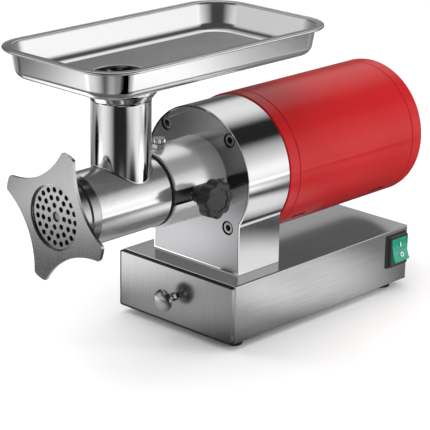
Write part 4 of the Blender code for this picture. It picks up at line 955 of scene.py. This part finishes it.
def head_surface():
    """The closed outer skin of the barrel with its throat, and a blend of one radius where they meet."""
    shape = bmesh.new()
    around = 160  # vertices round the throat; a quarter of them lie on each side of the patch
    quarter = around // 4
    low_steps = 56  # faces round the barrel's underside
    radius, blend = BARREL_RADIUS, THROAT_BLEND
    side_angle = math.radians(78)
    patch_front, patch_rear = -0.1260, BARREL_REAR - 0.0028

    def on_barrel(angle, y, r=radius):
        return shape.verts.new((r * math.sin(angle), y, AXIS_Z + r * math.cos(angle)))

    def on_throat(step, r, z):
        turn = 2 * math.pi * step / around
        return shape.verts.new((r * math.cos(turn), THROAT_Y + r * math.sin(turn), z))

    rings = []
    lip = softened([
        (0, CUP_TOP), (CUP_RADIUS, CUP_TOP, 0.0009), (CUP_RADIUS, CUP_START + 0.0085, 0.0040),
        (THROAT_RADIUS, CUP_START + 0.0010, 0.0050), (THROAT_RADIUS, AXIS_Z + 0.045),
    ], 8)[1:]
    for r, z in lip:
        rings.append([on_throat(step, r, z) for step in range(around)])
    crown = shape.verts.new((0, THROAT_Y, CUP_TOP))
    bridge(shape, [crown] * around, rings[0])

    for part in range(9):
        share = part / 8
        ring = []
        for step in range(around):
            turn = 2 * math.pi * step / around
            reach = THROAT_RADIUS + blend
            middle = Vector((reach * math.cos(turn), THROAT_Y + reach * math.sin(turn), 0))
            middle.z = math.sqrt((radius + blend) ** 2 - middle.x**2)
            to_throat = Vector((-math.cos(turn), -math.sin(turn), 0))
            to_barrel = Vector((-middle.x, 0, -middle.z)).normalized()
            direction = to_throat.slerp(to_barrel, share)
            point = middle + direction * blend
            ring.append(shape.verts.new((point.x, point.y, AXIS_Z + point.z)))
        rings.append(ring)

    foot = [(math.atan2(v.co.x, v.co.z - AXIS_Z), v.co.y) for v in rings[-1]]
    edge = []
    for step in range(around):
        turn = 2 * math.pi * step / around
        c, s = math.cos(turn), math.sin(turn)
        rear_reach, front_reach = patch_rear - THROAT_Y, THROAT_Y - patch_front
        if abs(c) >= abs(s) - 1e-9:
            reach = rear_reach if s > 0 else front_reach
            edge.append((math.copysign(side_angle, c), THROAT_Y + s / abs(c) * reach))
        else:
            edge.append((c / abs(s) * side_angle, patch_rear if s > 0 else patch_front))
    for part in range(1, 9):
        share = part / 8
        rings.append([
            on_barrel(a + (c - a) * share, b + (d - b) * share) for (a, b), (c, d) in zip(foot, edge)
        ])
    for first, second in zip(rings, rings[1:]):
        bridge(shape, first, second)

    outer = rings[-1]
    eighth = quarter // 2
    right = [outer[(step - eighth) % around] for step in range(quarter + 1)]
    left = [outer[(4 * eighth + eighth - step) % around] for step in range(quarter + 1)]
    underside = 2 * math.pi - 2 * side_angle
    low_angles = [side_angle + underside * step / low_steps for step in range(1, low_steps)]
    rows = []
    for index in range(quarter + 1):
        y = right[index].co.y
        rows.append([right[index]] + [on_barrel(angle, y) for angle in low_angles] + [left[index]])
    for first, second in zip(rows, rows[1:]):
        for a, b, c, d in zip(first, first[1:], second[1:], second):
            shape.faces.new((a, b, c, d))

    front_ring = rows[0] + [outer[(5 * eighth + step) % around] for step in range(1, quarter)]
    rear_ring = rows[-1] + [outer[(3 * eighth - step) % around] for step in range(1, quarter)]
    front_profile = softened([
        (radius, THREAD_END + 0.0004), (radius, THREAD_END, 0.0006), (THREAD_RADIUS - 0.0008, THREAD_END),
    ])
    ridges = thread(THREAD_RADIUS, 0.0008, 0.0, 0.0190, THREAD_PITCH)
    front_profile += [(r, THREAD_END - 0.0008 - h) for r, h in ridges]
    front_profile += [(THREAD_RADIUS - 0.0012, BARREL_FRONT)]
    rear_profile = softened([
        (radius, BARREL_REAR - 0.0034), (radius, BARREL_REAR, 0.0026), (SPIGOT_RADIUS, BARREL_REAR),
        (SPIGOT_RADIUS, SPIGOT_END, 0.0008), (0.0140, SPIGOT_END),
    ], 6)[1:]
    for start, profile in ((front_ring, front_profile), (rear_ring, rear_profile)):
        angles = [math.atan2(v.co.x, v.co.z - AXIS_Z) for v in start]
        last = start
        for r, y in profile:
            ring = [on_barrel(angle, y, r) for angle in angles]
            bridge(shape, last, ring)
            last = ring
        shape.faces.new(last)
    return shape


def build_head():
    axis = (0, 0, AXIS_Z)
    barrel = mesh_object("grinder_head", head_surface())
    bore = [
        (0, CUP_TOP + 0.002), (CUP_BORE, CUP_TOP + 0.002), (CUP_BORE, CUP_START + 0.0108, 0.0010),
        (THROAT_BORE, CUP_START + 0.0065, 0.0010), (THROAT_BORE, AXIS_Z), (0, AXIS_Z),
    ]
    chamber = [
        (0, -0.0440), (CHAMBER_RADIUS, -0.0440), (CHAMBER_RADIUS, -0.1445), (MOUTH_RADIUS, -0.1445),
        (MOUTH_RADIUS, BARREL_FRONT - 0.002), (0, BARREL_FRONT - 0.002),
    ]
    cut(
        barrel,
        lathe(bore, "Z", (0, THROAT_Y, 0), 128),
        lathe(chamber, "Y", axis, 128),
        rod(0.0125, -0.050, 0.010, "Y", axis, MEDIUM),
    )
    placed(barrel, HEAD, "head", "head_barrel")
    refinish(barrel, POLISHED, lambda at: (
        at.z > AXIS_Z + 0.020 and math.hypot(at.x, at.y - THROAT_Y) < THROAT_RADIUS + 0.0008
        or at.z > AXIS_Z + BARREL_RADIUS + 0.004
    ))
    gasket = [
        (GASKET_RADIUS, NECK_FRONT - 0.0024, 0.0006), (SOCKET_RADIUS, NECK_FRONT - 0.0024),
        (SOCKET_RADIUS, NECK_FRONT - 0.0003), (GASKET_RADIUS, NECK_FRONT - 0.0003, 0.0006),
    ]
    placed(mesh_object("neck_gasket", lathe(gasket, "Y", axis)), RUBBER, "head", "head_gasket")


def flight(low, high, pitch, steps_per_turn):
    """A helical flight, thick at its root and rounded at its tip."""
    shape = bmesh.new()
    tip = FLIGHT_RADIUS
    half = [(0.0095, -0.0038), (0.0160, -0.0026), (tip - 0.0010, -0.0018), (tip, -0.0010)]
    turns = (high - low) / pitch
    steps = round(turns * steps_per_turn)
    sections = []
    for step in range(steps + 1):
        share = step / steps
        angle = 2 * math.pi * turns * share
        middle = low + (high - low) * share
        section = []
        for radius, offset in half + [(radius, -offset) for radius, offset in half[::-1]]:
            place = (radius * math.cos(angle), middle + offset, AXIS_Z + radius * math.sin(angle))
            section.append(shape.verts.new(place))
        sections.append(section)
    for first, second in zip(sections, sections[1:]):
        bridge(shape, first, second)
    shape.faces.new(sections[0])
    shape.faces.new(sections[-1])
    return shape


def build_auger():
    axis = (0, 0, AXIS_Z)
    core = [
        (0, SPIGOT_END), (0.0120, SPIGOT_END, 0.0008), (0.0122, -0.0450), (0.0130, -0.0450, 0.0005),
        (0.0110, -0.1440, 0.0008), (0.0048, -0.1440), (0.0048, -0.1600, 0.0008), (0, -0.1600),
    ]
    worm = mesh_object("feed_screw", lathe(core, "Y", axis, MEDIUM))
    square = polygon(4, 0.0062 * SQUARE, math.pi / 4)
    tang = polygon(4, 0.0070 * SQUARE, math.pi / 4)
    join(
        worm,
        flight(FLIGHT_FRONT, FLIGHT_REAR, FLIGHT_PITCH, 40),
        prism(square, "Y", -0.1530, -0.1435, axis),
        prism(tang, "Y", SPIGOT_END - 0.001, 0.0100, axis),
    )
    placed(worm, TINNED, "screw", "auger")

    low, high = KNIFE_FRONT, KNIFE_REAR
    knife = mesh_object("cross_knife", rod(KNIFE_HUB, low, high, "Y", axis, MEDIUM))
    for blade in range(4):
        outline = softened([
            (0.0060, -0.0062), (0.0200, -0.0072, 0.01), (0.0305, -0.0030, 0.002), (0.0318, 0.0016),
            (0.0215, 0.0000, 0.006), (0.0060, 0.0062),
        ])
        arm = prism(outline, "Y", low, low + 0.0050)
        turn = Matrix.Translation(axis) @ Matrix.Rotation(math.pi * blade / 2, 4, "Y")
        bmesh.ops.transform(arm, matrix=turn, verts=arm.verts)
        join(knife, arm)
    hole = polygon(4, 0.0066 * SQUARE, math.pi / 4)
    cut(knife, prism(hole, "Y", -0.16, -0.14, axis))
    bevelled(knife, 0.0003, 2)
    placed(knife, MACHINED, "screw", "knife")


def build_plate():
    axis = (0, 0, AXIS_Z)
    low, high = MINCER_FRONT, MINCER_REAR
    disc = [(0, high), (MINCER_RADIUS, high, 0.0005), (MINCER_RADIUS, low, 0.0006), (0, low)]
    plate = mesh_object("mincing_plate", lathe(disc, "Y", axis))
    holes = bmesh.new()
    for count, radius in HOLE_CIRCLES:
        for hole in range(count):
            angle = 2 * math.pi * hole / count
            centre = (radius * math.cos(angle), 0, AXIS_Z + radius * math.sin(angle))
            size = HOLE_RADIUS if radius else PIN_HOLE_RADIUS
            one = rod(size, low - 0.001, high + 0.001, "Y", centre, 20)
            scrap = bpy.data.meshes.new("scrap")
            one.to_mesh(scrap)
            one.free()
            holes.from_mesh(scrap)
            bpy.data.meshes.remove(scrap)
    cut(plate, holes)
    placed(plate, MACHINED, "plate", "grinder_plate")


def star_outline():
    """Four blunt rounded tips with a hollow arc between each two."""
    half_tip = math.asin(STAR_TIP_WIDTH / 2 / STAR_TIP_RADIUS)
    points = []
    for tip in range(4):
        middle = STAR_TURN + tip * math.pi / 2
        for step in range(-6, 7):
            share = step / 6
            radius = STAR_TIP_RADIUS - STAR_TIP_DROP * share**4
            angle = middle + share * half_tip
            points.append((radius * math.cos(angle), radius * math.sin(angle)))
        start = Vector(points[-1])
        ahead = middle + math.pi / 2 - half_tip
        tip_radius = STAR_TIP_RADIUS - STAR_TIP_DROP
        end = Vector((tip_radius * math.cos(ahead), tip_radius * math.sin(ahead)))
        half_chord = (end - start).length / 2
        between = middle + math.pi / 4
        outward = Vector((math.cos(between), math.sin(between)))
        sag = ((start + end) / 2).dot(outward) - STAR_WAIST_RADIUS
        radius = (half_chord**2 + sag**2) / (2 * sag)
        centre = outward * (STAR_WAIST_RADIUS + radius)
        first = math.atan2(*(start - centre).yx)
        last = math.atan2(*(end - centre).yx)
        sweep = (last - first + math.pi) % (2 * math.pi) - math.pi
        for step in range(1, 36):
            angle = first + sweep * step / 36
            points.append((centre.x + radius * math.cos(angle), centre.y + radius * math.sin(angle)))
    return points


def build_ring():
    axis = (0, 0, AXIS_Z)
    nut = mesh_object("star_ring", prism(star_outline(), "Y", RING_FRONT, RING_BACK, axis))
    body = [
        (0, RING_END), (RING_RADIUS, RING_END, 0.0012), (RING_RADIUS, -0.1480, 0.0006),
        (RING_BORE, -0.1494, 0.0006), (RING_BORE, RING_BACK - 0.001), (0, RING_BACK - 0.001),
    ]
    join(nut, lathe(body, "Y", axis))
    ridges = thread(RING_BORE, 0.0007, 0.0, RING_END + 0.002 - RING_BACK, THREAD_PITCH)
    inside = [(0, RING_END + 0.002)] + [(r, RING_BACK + h) for r, h in ridges[::-1]] + [
        (RING_WINDOW, RING_BACK), (RING_WINDOW, RING_FRONT + 0.0012, 0.0010), (0.0330, RING_FRONT - 0.0001),
        (0.0330, RING_FRONT - 0.002), (0, RING_FRONT - 0.002),
    ]
    cut(nut, lathe(inside, "Y", axis))
    bevelled(nut, 0.0005, 3, 60)
    placed(nut, SATIN, "ring", "ring_nut")


# ---------------------------------------------------------------- feed tray


def tray_section():
    """The sheet's cross-section, as (inset from the rim's edge, height above the floor's underside)."""
    depth, bead = TRAY_DEPTH, TRAY_BEAD

    def bend(angles, sheet):
        """The bend between floor and wall, on the outside or one sheet's thickness further in."""
        radius = TRAY_BEND - sheet
        start = TRAY_WALL + sheet + radius
        return [(start - radius * math.sin(a), TRAY_BEND - radius * math.cos(a)) for a in angles]

    rim = softened([(0.0090, depth - 0.0052), (0.0082, depth - 0.0018, 0.0012), (2 * bead, depth - 0.0018)])
    rim = rim[:-1]
    for degrees in range(-60, -301, -20):
        turn = math.radians(degrees)
        rim.append((bead + bead * math.cos(turn), depth - bead + bead * math.sin(turn)))
    lip = [(2 * bead + 0.0010, depth - 0.0003), (0.0092, depth - 0.0003, 0.0014), (0.0104, depth - 0.0030)]
    return bend(BEND_ANGLES, 0.0) + rim + softened(lip) + bend(BEND_ANGLES[::-1], TRAY_SHEET)


def build_tray():
    shape = bmesh.new()
    loops = []
    for inset, height in tray_section():
        corner = TRAY_CORNER - inset
        x = TRAY_HALF_WIDTH - inset - corner
        y = (TRAY_REAR - TRAY_FRONT) / 2 - inset - corner
        middle = (TRAY_FRONT + TRAY_REAR) / 2
        outline = []
        for sx, sy, first in ((1, -1, -90), (1, 1, 0), (-1, 1, 90), (-1, -1, 180)):
            outline += arc((sx * x, sy * y + middle), corner, first, first + 90, 24)
        loops.append([shape.verts.new((a, b, TRAY_FLOOR + height)) for a, b in outline])
    for first, second in zip(loops, loops[1:]):
        bridge(shape, first, second)
    shape.faces.new(loops[0])
    shape.faces.new(loops[-1])
    pan = mesh_object("meat_pan", shape)
    cut(pan, rod(TRAY_HOLE, TRAY_FLOOR - 0.01, TRAY_FLOOR + 0.01, "Z", (0, THROAT_Y, 0), FINE))
    placed(pan, TRAY, "tray", "feed_tray")
    collar = [
        (0.0296, TRAY_FLOOR + 0.0030, 0.0006), (0.0278, TRAY_FLOOR + 0.0030, 0.0008),
        (0.0278, TRAY_FLOOR + 0.0004, 0.0020), (0.0312, TRAY_FLOOR - 0.0050, 0.0020),
        (0.0312, TRAY_FLOOR - 0.0090, 0.0004), (0.0328, TRAY_FLOOR - 0.0090, 0.0006),
        (0.0328, TRAY_FLOOR - 0.0003, 0.0006), (0.0296, TRAY_FLOOR - 0.0003),
    ]
    spigot = mesh_object("tray_spigot", lathe(collar, "Z", (0, THROAT_Y, 0)))
    placed(spigot, POLISHED, "tray", "tray_collar")


# ---------------------------------------------------------------- hidden pieces


def dress_hidden():
    shafts = ("output", "layshaft", "motor")
    bearings = [f"{shaft}_{end}_bearing" for shaft in shafts for end in ("front", "rear")]
    for finish, edge, nodes in (
        (GEARS, 0.0002, ("output_gear", "layshaft", "reduction_gear")),
        (MACHINED, 0.0003, ("output_shaft", "rotor_shaft", *bearings)),
        (LAMINATED, 0.0003, ("stator_core", "rotor_core")),
        (COPPER, 0.0010, ("winding_front", "winding_rear")),
        (CAST, 0.0004, ("bearing_plate",)),
        (RUBBER, 0.0003, ("shaft_seal",)),
        (DULL, 0.0002, ("capacitor_clip",)),
        (BLACK, 0.0003, ("run_capacitor", "terminal_block", "cord_gland", "cooling_fan")),
    ):
        for name in nodes:
            dressed(name, finish, edge)


# ---------------------------------------------------------------- studio


def clear_reflections():
    """Leaves the base, what stands in it and the named pieces out of the reflections in the steel."""
    for piece in bpy.data.objects:
        corners = [piece.matrix_world @ Vector(corner) - BENCH for corner in piece.bound_box]
        front, top = min(corner.y for corner in corners), max(corner.z for corner in corners)
        in_base = -0.001 < front < BASE_LENGTH and FOOT_TOP < top < BASE_TOP + 0.001
        if piece.name in UNMIRRORED or piece.type == "MESH" and in_base:
            piece.visible_glossy = False


def direction_of(azimuth, elevation):
    a, e = math.radians(azimuth), math.radians(elevation)
    return (math.cos(a) * math.cos(e), math.sin(a) * math.cos(e), math.sin(e))


def build_world():
    """A plain white room, and a shaped one for reflections: dark round the camera, bright to its sides."""
    world = bpy.data.worlds.new("studio")
    bpy.context.scene.world = world
    world.use_nodes = True
    tree = world.node_tree
    tree.nodes.clear()
    direction = node(tree, "TexCoord", output="Generated")
    flat = node(tree, "VectorMath", {0: direction, 1: (1.0, 1.0, 0.0)}, operation="MULTIPLY")
    level = node(tree, "VectorMath", {0: flat}, operation="NORMALIZE")
    camera_side = (math.sin(CAMERA_AZIMUTH), -math.cos(CAMERA_AZIMUTH), 0)
    towards = node(tree, "VectorMath", {0: level, 1: camera_side}, "Value", operation="DOT_PRODUCT")
    ramp = tree.nodes.new("ShaderNodeValToRGB")
    elements = ramp.color_ramp.elements
    while len(elements) < len(LOW_WALL):
        elements.new(0.5)
    for element, (degrees, bright) in zip(elements, LOW_WALL):
        element.position = (1 + math.cos(math.radians(degrees))) / 2
        element.color = (bright, bright, bright, 1)
    tree.links.new(reckon(tree, "MULTIPLY_ADD", towards, 0.5, 0.5), ramp.inputs["Fac"])
    height = node(tree, "SeparateXYZ", {0: direction}, "Z")
    fade = ramped(tree, height, 0.0, 1.0, WALL_TOP, WALL_FOOT, "SMOOTHSTEP")
    total = reckon(tree, "ADD", reckon(tree, "MULTIPLY", ramp.outputs["Color"], fade), ROOM_LEVEL)
    for azimuth, elevation, inner, outer, strength in GLOWS:
        aim = direction_of(azimuth, elevation)
        dot = node(tree, "VectorMath", {0: direction, 1: aim}, "Value", operation="DOT_PRODUCT")
        edges = (math.cos(math.radians(outer)), math.cos(math.radians(inner)))
        total = reckon(tree, "ADD", total, ramped(tree, dot, 0.0, strength, *edges, "SMOOTHSTEP"))

    camera_ray = node(tree, "LightPath", output="Is Camera Ray")
    diffuse_ray = node(tree, "LightPath", output="Is Diffuse Ray")
    seen = reckon(tree, "MAXIMUM", camera_ray, diffuse_ray)
    shaped = node(tree, "Background", {"Color": total})
    white = node(tree, "Background", {"Color": (1, 1, 1, 1)})
    mix = node(tree, "MixShader", {"Fac": seen, 1: shaped, 2: white})
    node(tree, "OutputWorld", {"Surface": mix})


def studio_material(name, values):
    made = bpy.data.materials.new(name)
    made.use_nodes = True
    shader = made.node_tree.nodes["Principled BSDF"]
    for socket, value in values.items():
        shader.inputs[socket].default_value = value
    return made


def staged(name, shape, made):
    """A piece of the studio, which no body carries."""
    piece = mesh_object(name, shape)
    piece.data.materials.append(made)
    return piece


def square_of(size):
    shape = bmesh.new()
    bmesh.ops.create_grid(shape, x_segments=1, y_segments=1, size=size)
    return shape


def only_reflected(piece):
    piece.visible_camera = False
    piece.visible_diffuse = False
    piece.visible_shadow = False
    piece.visible_transmission = False


def build_card():
    """A floor of light seen only in reflections; where it is clear the studio's low walls show through."""
    made = bpy.data.materials.new("reflection_card")
    made.use_nodes = True
    tree = made.node_tree
    tree.nodes.clear()
    place = node(tree, "TexCoord", output="Object")

    def near(x, y, inner, outer, strength):
        centre = (x + BENCH.x, y + BENCH.y, 0)
        apart = node(tree, "VectorMath", {0: place, 1: centre}, "Value", operation="DISTANCE")
        return ramped(tree, apart, 0.0, strength, outer, inner, "SMOOTHSTEP")

    bright = near(0, 0, *CARD_FADE, CARD_LEVEL)
    for pool in POOLS:
        bright = reckon(tree, "ADD", bright, near(*pool))
    clear = 1.0
    for shade in SHADES:
        clear = reckon(tree, "SUBTRACT", clear, near(*shade))
    glow = node(tree, "Emission", {"Color": bright})
    window = node(tree, "BsdfTransparent", {"Color": clear})
    node(tree, "OutputMaterial", {"Surface": node(tree, "AddShader", {0: window, 1: glow})})
    card = staged("reflection_floor", square_of(CARD_SIZE), made)
    card.location.z = CARD_HEIGHT
    only_reflected(card)


def build_floor():
    made = studio_material("floor_white", {"Base Color": (0.92, 0.92, 0.92, 1), "Roughness": 0.9})
    floor = staged("studio_floor", square_of(6.0), made)
    floor.visible_glossy = False


def build_painted_reflection_form():
    """A grey form inside the motor, seen only in reflections, so that the steel round it picks up no red."""
    radius, front, rear = MOTOR_RADIUS - 0.0009, MOTOR_FRONT + 0.001, MOTOR_REAR - 0.001
    # Painted reflection: the form glows faintly grey and stands in for the motor in the steel's reflections.
    made = studio_material("painted_reflection_grey", {
        "Base Color": (0.05, 0.05, 0.05, 1), "Emission Color": (1, 1, 1, 1), "Emission Strength": 0.12,
    })
    shape = lathe([(0, front), (radius, front), (radius, rear), (0, rear)], "Y", (0, 0, AXIS_Z), MEDIUM)
    form = staged("reflection_form", shape, made)
    form.data.transform(Matrix.Translation(BENCH))
    form.data.shade_smooth()
    only_reflected(form)


def build_lights():
    for name, place, size, power in LIGHTS:
        data = bpy.data.lights.new(name, "AREA")
        data.shape = "RECTANGLE"
        data.size, data.size_y = size
        data.energy = power
        lamp = bpy.data.objects.new(name, data)
        lamp.location = place
        lamp.rotation_euler = (Vector(LIGHT_TARGET) - Vector(place)).to_track_quat("-Z", "Y").to_euler()
        lamp.visible_glossy = False
        bpy.context.scene.collection.objects.link(lamp)


def build_camera():
    level, climb = math.cos(CAMERA_ELEVATION), math.sin(CAMERA_ELEVATION)
    right = Vector((math.cos(CAMERA_AZIMUTH), math.sin(CAMERA_AZIMUTH), 0))
    back = Vector((math.sin(CAMERA_AZIMUTH) * level, -math.cos(CAMERA_AZIMUTH) * level, climb))
    up = back.cross(right)
    turned_right = right * math.cos(CAMERA_ROLL) + up * math.sin(CAMERA_ROLL)
    turned_up = up * math.cos(CAMERA_ROLL) - right * math.sin(CAMERA_ROLL)
    data = bpy.data.cameras.new("camera")
    data.lens = CAMERA_LENS
    data.sensor_width = CAMERA_SENSOR
    camera = bpy.data.objects.new("camera", data)
    turn = Matrix((turned_right, turned_up, back)).transposed().to_4x4()
    camera.matrix_world = Matrix.Translation(CAMERA_TARGET + back * CAMERA_DISTANCE) @ turn
    bpy.context.scene.collection.objects.link(camera)
    bpy.context.scene.camera = camera


def main():
    bpy.context.scene.view_settings.view_transform = "Standard"
    build_camera()
    build_world()
    build_lights()
    build_floor()
    build_card()
    build_painted_reflection_form()
    build_base()
    build_drawer()
    build_switch()
    build_gearbox()
    build_clamp()
    build_oil_plug()
    build_motor()
    build_head()
    build_auger()
    build_plate()
    build_ring()
    build_tray()
    dress_hidden()
    clear_reflections()


main()
